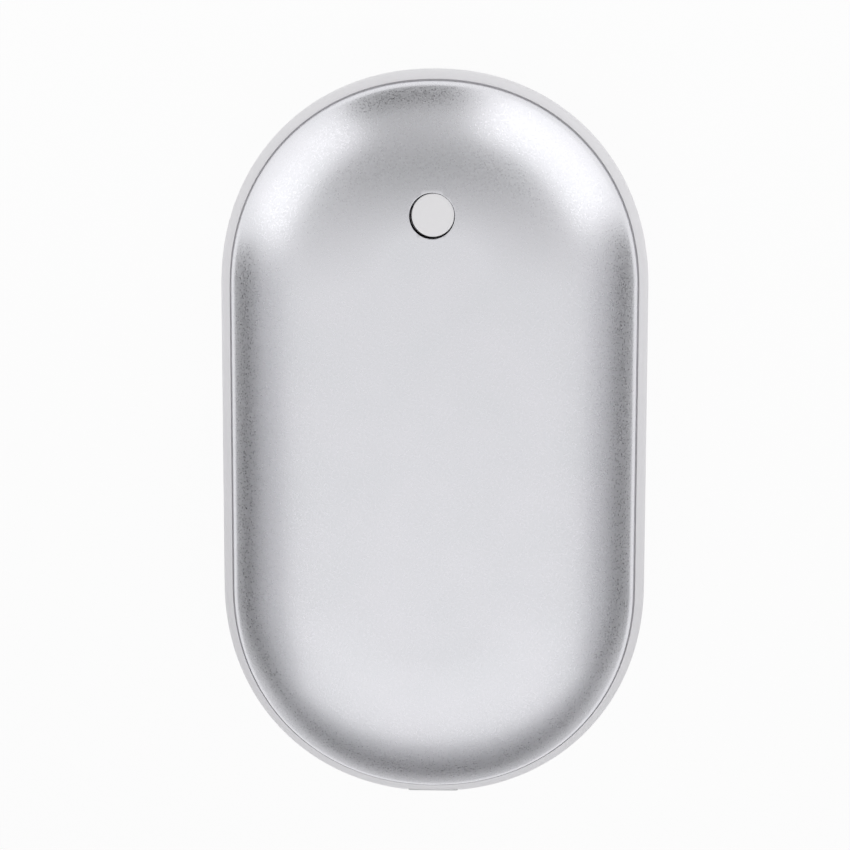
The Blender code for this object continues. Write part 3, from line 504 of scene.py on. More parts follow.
FINISHES: dict[Slot, Finish] = {
    # Satin metal with soft bands and a fine sparkle
    Slot.ALUMINIUM: BlastedAluminium(
        "aluminium_bead_blasted_anodised",
        "#EAE9EE",
        0.33,
        1.0,
        grain_mm=0.26,
        relief_mm=0.01,
        detail=2.0,
        detail_mix=0.65,
        uneven=0.22,
        dull_at=0.35,
        bright_at=0.65,
    ),
    # Pale, slightly milky body with a low sheen from the spark-eroded mould
    Slot.BAND: MilkyPlastic(
        "polycarbonate_abs_spark_textured",
        "#F4F3F6",
        0.42,
        grain_mm=0.35,
        relief_mm=0.004,
        share=0.1,
    ),
    # White and a little translucent, smoother than the band
    Slot.CAP: MilkyPlastic(
        "polycarbonate_opal_moulded", "#F2F1F3", 0.3, grain_mm=0.5, relief_mm=0.002
    ),
    # Black with a dry, even mould texture
    Slot.LINER: Finish("abs_black_moulded", "#242527", 0.55, grain_mm=0.4, relief_mm=0.01),
    # Clear amber gloss with the darker track under it
    Slot.HEATER: EtchedHeater("polyimide_film_etched_foil", "#B4762A", 0.3, relief_mm=0.02),
    # Charcoal grey without any shine
    Slot.FOAM: OpenCellFoam("polyurethane_foam_cut", "#3A3A3E", 0.95, grain_mm=0.5, relief_mm=0.08),
    # Shrunk sleeve with a soft gloss, and the bare steel of the can at its ends
    Slot.WRAP: FacedFinish(
        "pvc_sleeve_shrunk_on_steel",
        "#2E5E9E",
        0.32,
        grain_mm=2.5,
        relief_mm=0.02,
        axis="Y",
        face_colour="#B9BABA",
        face_metallic=1.0,
    ),
    # Bright, with faint rolling lines along the strip
    Slot.NICKEL: RolledMetal(
        "nickel_strip_rolled",
        "#BFBAB0",
        0.3,
        1.0,
        grain_mm=0.3,
        relief_mm=0.003,
        stretch=(0.05, 1.0, 1.0),
    ),
    # Cold, even shine of plated steel
    Slot.STEEL: RolledMetal(
        "steel_nickel_plated", "#C4C5C6", 0.28, 1.0, grain_mm=0.25, relief_mm=0.002
    ),
    # Green lacquer over copper tracks, with the pale yellow glass cloth at the cut edge
    Slot.BOARD: FacedFinish(
        "glass_epoxy_board_lacquered",
        "#B9A768",
        0.4,
        grain_mm=0.6,
        relief_mm=0.004,
        face_colour="#1C5C36",
        track_mm=2.6,
    ),
    # Dull black epoxy with a fine moulded grain
    Slot.CHIP: Finish("epoxy_black_moulded", "#1E1E20", 0.5, grain_mm=0.2, relief_mm=0.006),
    # Black nylon with a dry sheen
    Slot.SWITCH: Finish(
        "nylon_glass_filled_moulded", "#202123", 0.45, grain_mm=0.25, relief_mm=0.005
    ),
    # White package with the yellow phosphor on its face
    Slot.LAMP: FacedFinish(
        "silicone_phosphor_on_white_package",
        "#ECECE6",
        0.3,
        grain_mm=0.2,
        relief_mm=0.002,
        face_colour="#E6D27A",
    ),
    # Soft silicone insulation in three colours, with a waxy sheen
    **{
        slot: Finish(f"silicone_{word}_extruded", colour, 0.42, grain_mm=0.5, relief_mm=0.006)
        for slot, word, colour in (
            (Slot.RED_LEAD, "red", "#B0201C"),
            (Slot.BLACK_LEAD, "black", "#1B1B1C"),
            (Slot.WHITE_LEAD, "white", "#D9D9D4"),
        )
    },
}


@dataclass
class Wardrobe:
    """Makes each finish once and hands it out.

    Attributes:
        finishes: The finish of each slot.
        made: The materials made so far.
    """

    finishes: Mapping[Slot, Finish]
    made: dict[Slot, Material] = field(default_factory=dict)

    def material(self, slot: Slot) -> Material:
        """Make a slot's material the first time that it is asked for.

        Args:
            slot: The slot.

        Returns:
            Its material.
        """
        if slot not in self.made:
            self.made[slot] = self.finishes[slot].build()
        return self.made[slot]

    def dress_node(self, name: str, slot: Slot) -> None:
        """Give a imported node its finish.

        Args:
            name: The node's name.
            slot: Its material slot.
        """
        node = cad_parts[name]
        if not node.material_slots:
            node.data.materials.append(None)
        for place in node.material_slots:
            place.material = self.material(slot)
        log.info("%s wears %s", name, self.finishes[slot].name)

    def dress_piece(
        self, piece: Object, slot: Slot, body: str, replaced: Iterable[str] = ()
    ) -> None:
        """Finish a new piece and tie it to the frame.

        Args:
            piece: The new object, in place.
            slot: Its material slot.
            body: The body that it moves with.
            replaced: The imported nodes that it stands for.
        """
        piece.data.materials.clear()
        piece.data.materials.append(self.material(slot))
        piece.data.shade_smooth()
        piece.data.set_sharp_from_angle(angle=SHARP)
        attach(piece, body)
        if replaced:
            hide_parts(*replaced)
        log.info("%s: %d faces on %s", piece.name, len(piece.data.polygons), body)


# Shapes


def new_object(name: str, mesh: Mesh) -> Object:
    """Put a mesh in the scene as an object.

    Args:
        name: The object's name.
        mesh: Its mesh.

    Returns:
        The new object.
    """
    made = bpy.data.objects.new(name, mesh)
    bpy.context.scene.collection.objects.link(made)
    return made


def finished(name: str, bm: bmesh.types.BMesh) -> Object:
    """Turn a mesh under construction into an object.

    Args:
        name: The object's name.
        bm: The mesh, which can't be used after this.

    Returns:
        The new object.
    """
    mesh = bpy.data.meshes.new(name)
    bm.to_mesh(mesh)
    bm.free()
    return new_object(name, mesh)


def skin(name: str, rings: Sequence[Sequence[Vector]], looped: bool = False) -> Object:
    """Make a closed skin through rings of equally many points.

    Args:
        name: The object's name.
        rings: Closed rings, in order along the skin.
        looped: Join the last ring to the first, in place of a face on each end.

    Returns:
        The new object, with its faces pointing out.
    """
    bm = bmesh.new()
    loops = [[bm.verts.new(point) for point in ring] for ring in rings]
    pairs = list(zip(loops, loops[1:]))
    if looped:
        pairs.append((loops[-1], loops[0]))
    for lower, upper in pairs:
        for here in range(len(lower)):
            there = (here + 1) % len(lower)
            bm.faces.new((lower[here], lower[there], upper[there], upper[here]))
    if not looped:
        bm.faces.new(loops[0])
        bm.faces.new(loops[-1])
    bmesh.ops.recalc_face_normals(bm, faces=bm.faces)
    return finished(name, bm)


def change(piece: Object, tools: Sequence[Object], how: Solid) -> None:
    """Cut solids out of a piece or join them to it, and remove them.

    Args:
        piece: The solid that changes.
        tools: The solids that change it.
        how: Cut or join.
    """
    for tool in tools:
        step = piece.modifiers.new(tool.name, "BOOLEAN")
        step.operation = how.value
        step.solver = "EXACT"
        step.object = tool
    bpy.context.view_layer.update()
    graph = bpy.context.evaluated_depsgraph_get()
    old = piece.data
    mesh = bpy.data.meshes.new_from_object(piece.evaluated_get(graph))
    piece.modifiers.clear()
    piece.data = mesh
    bpy.data.meshes.remove(old)
    for tool in tools:
        bpy.data.objects.remove(tool, do_unlink=True)


def quarter(centre: Point, radius: float, start: float, steps: int) -> list[Point]:
    """Set points on a quarter round.

    Args:
        centre: Its centre.
        radius: Its radius.
        start: Its first angle in degrees; it turns anticlockwise.
        steps: How many stretches it has.

    Returns:
        Its points, both ends included.
    """
    points = []
    for step in range(steps + 1):
        angle = math.radians(start + 90 * step / steps)
        points.append((centre[0] + radius * math.cos(angle), centre[1] + radius * math.sin(angle)))
    return points


def circle(radius: float, steps: int) -> list[Point]:
    """Points on a full round about the middle."""
    angles = [2 * math.pi * step / steps for step in range(steps)]
    return [(radius * math.cos(angle), radius * math.sin(angle)) for angle in angles]


def edge_break(radius: float, turn: float, steps: int) -> list[Point]:
    """How far in from its side, and how far below its top, each point of a rounded edge lies."""
    angles = [turn * step / steps for step in range(steps + 1)]
    return [(radius * (1 - math.cos(angle)), radius * (1 - math.sin(angle))) for angle in angles]


def turned(name: str, profile: Sequence[Point], centre: Vector, steps: int) -> Object:
    """Turn a profile of radius and height pairs about the vertical through a centre.

    Args:
        name: The object's name.
        profile: Points from the axis round to the axis; both ends keep a small radius.
        centre: The axis' place, with the height that the profile counts from.
        steps: How many stretches each ring has.

    Returns:
        The new object.
    """
    rings = []
    for radius, height in profile:
        rings.append([centre + Vector((x, y, height)) for x, y in circle(radius, steps)])
    return skin(name, rings)


def socket_outline(
    width: float, height: float, chamfer: float, radius: float, steps: int = 5
) -> list[tuple[float, float, float, float]]:
    """Outline the charging socket seen along Y: flat on top, chamfered below, with round corners.

    Args:
        width: Its whole width in X.
        height: Its whole height in Z.
        chamfer: Size of the two lower chamfers.
        radius: Radius of all corners.
        steps: Stretches in each corner.

    Returns:
        X and Z of each point, then X and Z of the way out there.
    """
    x, z = width / 2, height / 2
    lower = ((chamfer - x, -z), (x - chamfer, -z), (x, chamfer - z))
    corners = (*lower, (x, z), (-x, z), (-x, chamfer - z))
    # Ways out of the sides before and after each corner, in degrees
    turns = (225, 270, 315, 360, 450, 540, 585)
    points = []
    for (corner_x, corner_z), start, end in zip(corners, turns, turns[1:]):
        middle = math.radians(start + end) / 2
        back = radius / math.cos(math.radians(end - start) / 2)
        centre_x = corner_x - back * math.cos(middle)
        centre_z = corner_z - back * math.sin(middle)
        for step in range(steps + 1):
            angle = math.radians(start + (end - start) * step / steps)
            out_x, out_z = math.cos(angle), math.sin(angle)
            points.append((centre_x + radius * out_x, centre_z + radius * out_z, out_x, out_z))
    return points


def stretches(ring: Sequence[Vector]) -> Iterable[tuple[Vector, Vector]]:
    """The two ends of each stretch of a closed ring."""
    return zip(ring, [*ring[1:], ring[0]])


@dataclass(frozen=True)
class BodyForm:
    """The warmer's outline and dome, which its shells, band and seam follow.

    Attributes:
        length: Whole length of the band.
        width: Whole width of the band.
        middle: Height of the middle plane, half the thickness.
        edge_height: Height of a shell's edge over the middle plane.
        edge_inset: How far a shell's edge lies in from the outline.
        end_stretch: How much deeper an end is than half the width.
        end_power: Power of the ends' superellipse.
        edge_roll: Radius of the tight roll at a shell's edge.
        foot_width: Width of the flat on each face.
        corner_steps: Stretches in each quarter of the outline.
        sheet: Thickness of the shells' sheet.
        socket_chamfer: Size of the charging socket's lower chamfers.
        socket_corner: Radius of its corners.
    """

    length: float
    width: float
    middle: float
    edge_height: float
    edge_inset: float
    end_stretch: float = 0.0005
    end_power: float = 2.1
    edge_roll: float = 0.0027
    foot_width: float = 0.0156
    corner_steps: int = 44
    sheet: float = 0.0008
    socket_chamfer: float = 0.0010
    socket_corner: float = 0.00045

    @classmethod
    def from_frame(cls) -> BodyForm:
        """Read the form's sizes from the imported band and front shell.

        Returns:
            The body's form.
        """
        band_low, band_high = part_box("mid_frame")
        shell_low, shell_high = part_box("front_shell")
        middle = (band_low.z + band_high.z) / 2
        return cls(
            length=2 * band_high.y,
            width=band_high.x - band_low.x,
            middle=middle,
            edge_height=shell_low.z - middle,
            edge_inset=band_high.x - shell_high.x,
        )

    @property
    def dome_run(self) -> float:
        """Reach of the dome from its edge to the flat."""
        return (self.width - self.foot_width) / 2 - self.edge_inset

    @property
    def dome_tilt(self) -> float:
        """How steep the section is where the roll meets the wide arc."""
        rise = self.middle - self.edge_height - self.edge_roll
        return 2 * math.atan(rise / (self.dome_run - self.edge_roll))

    @property
    def dome_arc(self) -> float:
        """Radius of the wide arc."""
        return (self.dome_run - self.edge_roll) / math.sin(self.dome_tilt) + self.edge_roll

    def outline(self, inset: float) -> list[Vector]:
        """Draw the body's outline seen from above, anticlockwise.

        Args:
            inset: How far it is moved in.

        Returns:
            Points about the body's centre.
        """
        half_width = self.width / 2
        depth = half_width + self.end_stretch
        straight = self.length / 2 - depth
        power = self.end_power
        first = []
        for step in range(self.corner_steps + 1):
            angle = math.pi / 2 * step / self.corner_steps
            across, along = max(math.cos(angle), 0.0), math.sin(angle)
            place_x = half_width * across ** (2 / power)
            place_y = straight + depth * along ** (2 / power)
            out_x = across ** (2 - 2 / power) / half_width
            out_y = along ** (2 - 2 / power) / depth
            out = Vector((out_x, out_y)).normalized()
            first.append(Vector((place_x, place_y)) - inset * out)
        end = first + [Vector((-point.x, point.y)) for point in reversed(first[:-1])]
        return end + [-point for point in end]

    def ring(self, inset: float, height: float, side: Side = Side.FRONT) -> list[Vector]:
        """The outline as a ring at a height over the middle plane, towards one side."""
        level = self.middle + side.value * height
        return [Vector((point.x, point.y, level)) for point in self.outline(inset)]

    def section(self, angle: float, depth: float = 0.0) -> Point:
        """Find a point of the dome's section.

        Args:
            angle: Rise of the skin's normal, from 0 at the edge to LEVEL on the flat.
            depth: How far under the skin the point lies.

        Returns:
            Its inset and its height over the middle plane.
        """
        if angle < LEVEL - self.dome_tilt:
            radius, height = self.edge_roll, self.edge_height
            inset = self.edge_inset + self.edge_roll
        else:
            radius, inset = self.dome_arc, self.edge_inset + self.dome_run
            height = self.middle - radius
        under = radius - depth
        return inset - under * math.cos(angle), height + under * math.sin(angle)

    def angle_past(self, before: Callable[[float], bool]) -> float:
        """Find the place on the dome's section up to which a test holds.

        Args:
            before: The test; it gets the rise of the skin's normal.

        Returns:
            The least rise at which the test no longer holds.
        """
        low, high = 0.0, LEVEL
        for _ in range(HALVINGS):
            trial = (low + high) / 2
            if before(trial):
                low = trial
            else:
                high = trial
        return high

    def skin_height(self, x: float, y: float) -> float:
        """Find the skin's height over the middle plane at a place seen from above.

        Args:
            x: The place across the body.
            y: The place along the body.

        Returns:
            The height.
        """
        here = Vector((x, y))
        inset = min(
            (here - nearest_on_line(here, start, end)).length
            for start, end in stretches(self.outline(0.0))
        )
        return self.section(self.angle_past(lambda angle: self.section(angle)[0] < inset))[1]

    def end_y(self, x: float, inset: float) -> float:
        """Find where the charging end's face lies at a place across the body.

        Args:
            x: The place across the body.
            inset: How far the face is moved in there.

        Returns:
            Its Y.
        """
        found = 0.0
        for start, end in stretches(self.outline(inset)):
            if min(start.x, end.x) <= x <= max(start.x, end.x) and start.x != end.x:
                found = min(found, start.lerp(end, (x - start.x) / (end.x - start.x)).y)
        return found


def nearest_on_line(point: Vector, start: Vector, end: Vector) -> Vector:
    """Find the point of a stretch that lies nearest to another point.

    Args:
        point: The other point.
        start: One end of the stretch.
        end: Its other end.

    Returns:
        The nearest point.
    """
    way = end - start
    share = (point - start).dot(way) / way.length_squared
    return start + way * min(max(share, 0.0), 1.0)


# Sub-assemblies


@dataclass
class SubAssembly:
    """What each remade sub-assembly of the body is built from.

    Attributes:
        form: The body's form.
        wardrobe: Where the finishes come from.
    """

    form: BodyForm
    wardrobe: Wardrobe


@dataclass
class ShellPair(SubAssembly):
    """The two pressed shells, with rounded rims and the front one's button hole.

    Attributes:
        rim: Radius of the trimmed and blasted edge.
        rings: Rings over the outer dome.
        inner_rings: Rings over the inner face.
        rim_steps: Stretches over each half of the rim.
        rim_clear: Radii of the rim within which the dome leaves its points to it.
        hole_radius: Radius of the button's hole.
        hole_edge: Radius of the hole's edge break.
        hole_edge_steps: Stretches over that edge break.
        hole_steps: Stretches round the hole.
        overrun: How far the cutter runs past the sheet.
    """

    rim: float = 0.00014
    rings: int = 46
    inner_rings: int = 12
    rim_steps: int = 4
    rim_clear: float = 1.5
    hole_radius: float = 0.0032
    hole_edge: float = 0.00012
    hole_edge_steps: int = 5
    hole_steps: int = 72
    overrun: float = 0.0015

    def sheet(self, name: str, side: Side) -> Object:
        """Make one shell as a closed sheet with a rounded rim.

        Args:
            name: The piece's name.
            side: Which shell.

        Returns:
            The new piece.
        """
        form = self.form
        points = [form.section(LEVEL * (1 - step / self.rings)) for step in range(self.rings)]
        outer, inner = form.edge_inset, form.edge_inset + form.sheet
        low, rim = form.edge_height, self.rim
        floor = low + self.rim_clear * rim
        outer_round = quarter((outer + rim, low + rim), rim, 180, self.rim_steps)
        inner_round = quarter((inner - rim, low + rim), rim, 270, self.rim_steps)
        points = [point for point in points if point[1] > floor]
        points += outer_round + inner_round
        for step in range(1, self.inner_rings + 1):
            point = form.section(LEVEL * step / self.inner_rings, form.sheet)
            if point[1] > floor:
                points.append(point)
        return skin(name, [form.ring(inset, height, side) for inset, height in points])

    def hole_cutter(self, centre: Vector) -> Object:
        """Make the button hole's cutter, with an edge break that follows the dome round the hole.

        Args:
            centre: The hole's centre.

        Returns:
            The cutter.
        """
        form, radius = self.form, self.hole_radius
        low = form.skin_height(centre.x, centre.y) - form.sheet - self.overrun
        profile: list[tuple[float, Callable[[float], float]]] = [(radius, lambda skin_at: low)]
        for spread, drop in edge_break(self.hole_edge, EDGE_TURN, self.hole_edge_steps):
            profile.append((radius + spread, lambda skin_at, drop=drop: skin_at - drop))
        profile.append((profile[-1][0], lambda skin_at: skin_at + self.overrun))
        rings = []
        for reach, level in profile:
            ring = []
            for across, along in circle(reach, self.hole_steps):
                x, y = centre.x + across, centre.y + along
                ring.append(Vector((x, y, form.middle + level(form.skin_height(x, y)))))
            rings.append(ring)
        return skin("button_hole_cutter", rings)

    def build(self, button_centre: Vector) -> None:
        """Make both shells and cut the button's hole in the front one.

        Args:
            button_centre: The hole's centre.
        """
        front = self.sheet("front_shell_skin", Side.FRONT)
        change(front, [self.hole_cutter(button_centre)], Solid.CUT)
        self.wardrobe.dress_piece(front, Slot.ALUMINIUM, "root", ["front_shell"])
        rear = self.sheet("rear_shell_skin", Side.REAR)
        self.wardrobe.dress_piece(rear, Slot.ALUMINIUM, "root", ["rear_shell"])


@dataclass
class Band(SubAssembly):
    """The moulded band between the shells.

    It is crowned outside, with locating lips, screw lugs and the mouth of the charging socket.

    Attributes:
        seam: Gap between the band and a shell's edge.
        crown: How far the band's face bulges.
        crown_steps: Stretches over the crown.
        corner: Radius of the crown's and the lips' edges.
        corner_steps: Stretches over each of them.
        groove: Depth of the seam's groove behind the crown.
        lip_wall: Thickness of the locating lips.
        fit: Clearance between the lips and the shells.
        lug_wall: Thickness of the screw lugs.
        lug_radius: Radius of a lug's round end.
        lug_hole: Radius of its hole.
        lug_steps: Stretches round its end.
        mouth_edge: Radius of the mouth's edge break.
        mouth_edge_steps: Stretches over that edge break.
        mouth_fit: Clearance round the socket.
        overrun: How far the cutter runs past the band.
    """

    seam: float = 0.0003
    crown: float = 0.00158
    crown_steps: int = 22
    corner: float = 0.0001
    corner_steps: int = 3
    groove: float = 0.0004
    lip_wall: float = 0.0010
    fit: float = 0.0003
    lug_wall: float = 0.0016
    lug_radius: float = 0.0030
    lug_hole: float = 0.0013
    lug_steps: int = 16
    mouth_edge: float = 0.0001
    mouth_edge_steps: int = 4
    mouth_fit: float = 0.00012
    overrun: float = 0.001

    @property
    def half_height(self) -> float:
        """Half the height of the band's outer face."""
        return self.form.edge_height - self.seam

    @property
    def crown_radius(self) -> float:
        """Radius of the crown's arc."""
        return (self.half_height**2 + self.crown**2) / (2 * self.crown)

    def crown_inset(self, height: float) -> float:
        """How far the crowned face lies in from the outline at a height over the middle plane."""
        return self.crown_radius - math.sqrt(self.crown_radius**2 - height**2)

    def upper_half(self) -> list[Point]:
        """Draw the section from the widest line up and over the lip's inner face.

        Returns:
            Insets and heights.
        """
        form, half, corner = self.form, self.half_height, self.corner
        _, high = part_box("mid_frame")
        lip_top = high.z - form.middle
        tip = form.angle_past(lambda angle: form.section(angle, form.sheet)[1] < lip_top)
        lip = form.section(tip, form.sheet)[0] + self.fit
        points = []
        for step in range(self.crown_steps + 1):
            height = (half - corner) * step / self.crown_steps
            points.append((self.crown_inset(height), height))
        edge = points[-1][0]
        for inset, drop in edge_break(corner, LEVEL, self.corner_steps)[1:]:
            points.append((edge + inset, half - drop))
        floor = half - self.groove
        points += [(points[-1][0], floor), (lip, floor), (lip, lip_top - corner)]
        points += [(lip + corner, lip_top), (lip + self.lip_wall - corner, lip_top)]
        points.append((lip + self.lip_wall, lip_top - corner))
        return points

    def ring_body(self) -> Object:
        """Make the band as a closed ring.

        Returns:
            The new object.
        """
        upper = self.upper_half()
        lower = [(inset, -height) for inset, height in reversed(upper[1:])]
        rings = [self.form.ring(inset, height) for inset, height in upper + lower]
        return skin("band_skin", rings, looped=True)

    def lug(self, x: float, y: float, wall_x: float) -> list[Object]:
        """Make one screw lug from the band's wall, and the cutter of its hole.

        Args:
            x: Place of its screw across the body; its sign gives the side.
            y: Place of its screw along the body.
            wall_x: Where the lug ends inside the band's wall.

        Returns:
            The lug and the hole's cutter.
        """
        side = math.copysign(1.0, x)
        radius = self.lug_radius
        shape = [(wall_x * side, y - radius), (wall_x * side, y + radius)]
        for step in range(self.lug_steps + 1):
            angle = math.pi * (0.5 + step / self.lug_steps)
            shape.append((x + side * radius * math.cos(angle), y + radius * math.sin(angle)))
        rings = []
        for level in (-self.lug_wall / 2, self.lug_wall / 2):
            rings.append([Vector((px, py, self.form.middle + level)) for px, py in shape])
        lug = skin(f"lug_{x:.3f}_{y:.3f}", rings)
        reach = self.lug_wall
        profile = [(self.lug_hole, -reach), (self.lug_hole, reach)]
        centre = Vector((x, y, self.form.middle))
        return [lug, turned(f"{lug.name}_hole", profile, centre, 2 * self.lug_steps)]

    def mouth_cutter(self) -> Object:
        """Make the mouth's cutter, with an edge break that follows the crowned end.

        Returns:
            The cutter.
        """
        form, fit = self.form, self.mouth_fit
        low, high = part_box("usb_port_shell")
        outline = socket_outline(
            high.x - low.x, high.z - low.z, form.socket_chamfer, form.socket_corner
        )
        profile: list[tuple[float, float | None]] = [(fit, None)]
        for spread, depth in edge_break(self.mouth_edge, EDGE_TURN, self.mouth_edge_steps):
            profile.append((fit + spread, depth))
        profile.append((profile[-1][0], -self.overrun))
        rings = []
        for spread, depth in profile:
            ring = []
            for x, z, out_x, out_z in outline:
                px, pz = x + spread * out_x, z + spread * out_z
                face = form.end_y(px, self.crown_inset(pz))
                y = high.y if depth is None else face + depth
                ring.append(Vector((px, y, form.middle + pz)))
            rings.append(ring)
        return skin("port_mouth_cutter", rings)

    def build(self) -> None:
        """Make the band, join its lugs and cut its holes and mouth."""
        band = self.ring_body()
        wall_x = self.form.width / 2 - self.upper_half()[-1][0] + self.lip_wall / 2
        lugs, cutters = [], [self.mouth_cutter()]
        for number in (1, 2, 3, 4):
            low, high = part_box(f"case_screw_{number}")
            lug, hole = self.lug((low.x + high.x) / 2, (low.y + high.y) / 2, wall_x)
            lugs.append(lug)
            cutters.append(hole)
        change(band, lugs, Solid.JOIN)
        change(band, cutters, Solid.CUT)
        self.wardrobe.dress_piece(band, Slot.BAND, "root", ["mid_frame"])


@dataclass
class Button(SubAssembly):
    """The opal cap: a disc with a rounded edge that leans with the shell, over a flange and stem.

    Attributes:
        radius: Radius of the cap.
        edge: Radius of the cap's top edge.
        edge_steps: Stretches over it.
        crown: How far the middle of the cap stands over its edge.
        crown_steps: Stretches from its middle to its edge.
        recess: How far the cap lies under the shell's skin.
        flange_width: How far the flange stands out.
        flange_height: Thickness of the flange.
        stem_height: Height of the stem under the flange.
        stem_radius: Radius of the stem.
        corner: Radius of the flange's and stem's edges.
        play: How far the cap sits off its hole's centre, towards +X and +Y, in its clearance.
        pole: Radius of the smallest ring, at the cap's axis.
        steps: Stretches round the cap.
    """

    radius: float = 0.002995
    edge: float = 0.00022
    edge_steps: int = 6
    crown: float = 0.00003
    crown_steps: int = 8
    recess: float = 0.00012
    flange_width: float = 0.0011
    flange_height: float = 0.0008
    stem_height: float = 0.0009
    stem_radius: float = 0.0016
    corner: float = 0.0001
    play: float = 0.00013
    pole: float = 0.00001
    steps: int = 72

    def centre(self) -> Vector:
        """The hole's centre, at the height of the stem's end."""
        low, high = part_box("button_cap")
        return Vector(((low.x + high.x) / 2, (low.y + high.y) / 2, low.z))

    def slope(self, centre: Vector) -> float:
        """Find how steeply the shell falls along Y at the button.

        Args:
            centre: The hole's centre.

        Returns:
            The fall over a length.
        """
        high = self.form.skin_height(centre.x, centre.y - self.radius)
        low = self.form.skin_height(centre.x, centre.y + self.radius)
        return (high - low) / (2 * self.radius)

    def build(self) -> None:
        """Turn the cap, then lean its top with the shell."""
        centre = self.centre()
        skin_at = self.form.middle + self.form.skin_height(centre.x, centre.y)
        top = skin_at - self.recess - centre.z
        flange_low = self.stem_height
        flange_top = flange_low + self.flange_height
        corner = self.corner
        profile = [(self.pole, top + self.crown)]
        rim_start = self.radius - self.edge
        for step in range(1, self.crown_steps):
            share = step / self.crown_steps
            profile.append((rim_start * share, top + self.crown * (1 - share**2)))
        rim = quarter((rim_start, top - self.edge), self.edge, 0, self.edge_steps)
        profile += list(reversed(rim))
        outer = self.radius + self.flange_width
        stem = self.stem_radius
        profile += [(self.radius, flange_top), (outer - corner, flange_top)]
        profile += [(outer, flange_top - corner), (outer, flange_low + corner)]
        profile += [(outer - corner, flange_low), (stem, flange_low)]
        profile += [(stem, corner), (stem - corner, 0.0), (self.pole, 0.0)]
        offset = Vector((self.play, self.play, 0.0))
        cap = turned("button_cap_skin", profile, centre + offset, self.steps)
        slope = self.slope(centre)
        for vertex in cap.data.vertices:
            if vertex.co.z > centre.z + flange_top + corner:
                vertex.co.z -= slope * (vertex.co.y - centre.y - offset.y)
        self.wardrobe.dress_piece(cap, Slot.CAP, "button", ["button_cap"])


@dataclass
class ChargingSocket(SubAssembly):
    """The steel socket shell with a round mouth, and its tongue with contacts under it.

    Attributes:
        wall: Thickness of the shell's sheet.
        mouth_steps: Stretches over its round mouth.
        block_chamfer: Size of the block's lower chamfers.
        block_corner: Radius of the block's corners.
        tongue_width: Width of the tongue.
        tongue_height: Thickness of the tongue.
        tongue_corner: Radius of its tip.
        tip_steps: Stretches over its tip.
        block_length: Length of the block that holds the tongue.
        contact_count: Contacts under the tongue.
        contact_pitch: Spacing of the contacts.
        contact_width: Width of a contact.
        contact_length: Length of a contact.
        contact_stand: How far a contact stands out of the tongue.
    """

    wall: float = 0.0003
    mouth_steps: int = 8
    block_chamfer: float = 0.00065
    block_corner: float = 0.0001
    tongue_width: float = 0.0037
    tongue_height: float = 0.0006
    tongue_corner: float = 0.0002
    tip_steps: int = 4
    block_length: float = 0.0014
    contact_count: int = 5
    contact_pitch: float = 0.00065
    contact_width: float = 0.00036
    contact_length: float = 0.0026
    contact_stand: float = 0.00004

    def ring(
        self, outline: Sequence[tuple[float, float, float, float]], grow: float, y: float
    ) -> list[Vector]:
        """Set an outline as a ring at a place along the body.

        Args:
            outline: X and Z of each point, then X and Z of the way out there.
            grow: How far the outline is moved out.
            y: The place along the body.

        Returns:
            The ring's points.
        """
        return [
            Vector((x + grow * out_x, y, self.form.middle + z + grow * out_z))
            for x, z, out_x, out_z in outline
        ]

    def shell(self) -> Object:
        """Make the drawn shell with round edges at its mouth.

        Returns:
            The new object.
        """
        form = self.form
        low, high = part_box("usb_port_shell")
        outline = socket_outline(
            high.x - low.x, high.z - low.z, form.socket_chamfer, form.socket_corner
        )
        section = [(0.0, high.y)]
        for inset, depth in edge_break(self.wall / 2, math.pi, self.mouth_steps):
            section.append((-inset, low.y + depth))
        section.append((-self.wall, high.y))
        rings = [self.ring(outline, grow, y) for grow, y in section]
        return skin("usb_port_shell_skin", rings, looped=True)

    def tongue(self) -> Object:
        """Make the moulded block and the tongue that stands out of it.

        Returns:
            The new object.
        """
        low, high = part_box("usb_port_tongue")
        face = high.y - self.block_length
        corner = self.tongue_corner
        block = socket_outline(
            high.x - low.x, high.z - low.z, self.block_chamfer, self.block_corner
        )
        blade = socket_outline(self.tongue_width, self.tongue_height, corner, corner)
        rings = [self.ring(block, 0.0, high.y), self.ring(block, 0.0, face)]
        rings.append(self.ring(blade, 0.0, face))
        for inset, depth in edge_break(corner, LEVEL, self.tip_steps):
            rings.append(self.ring(blade, -inset, low.y + depth))
        return skin("usb_port_tongue_skin", rings)

    def contacts(self) -> Object:
        """Make the row of plated contacts under the tongue, as one piece.

        Returns:
            The new object.
        """
        low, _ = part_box("usb_port_tongue")
        bm = bmesh.new()
        start = low.y + 2 * self.tongue_corner
        size = Matrix.Diagonal(
            (self.contact_width, self.contact_length, 2 * self.contact_stand, 1.0)
        )
        y = start + self.contact_length / 2
        z = self.form.middle - self.tongue_height / 2
        for number in range(self.contact_count):
            x = (number - (self.contact_count - 1) / 2) * self.contact_pitch
            bmesh.ops.create_cube(bm, size=1, matrix=Matrix.Translation((x, y, z)) @ size)
        bmesh.ops.bevel(
            bm, geom=list(bm.edges), offset=self.contact_stand / 2, segments=1, affect="EDGES"
        )
        return finished("usb_port_contacts", bm)

    def build(self) -> None:
        """Make the socket's three pieces."""
        self.wardrobe.dress_piece(self.shell(), Slot.STEEL, "root", ["usb_port_shell"])
        self.wardrobe.dress_piece(self.tongue(), Slot.SWITCH, "root", ["usb_port_tongue"])
        self.wardrobe.dress_piece(self.contacts(), Slot.NICKEL, "root")


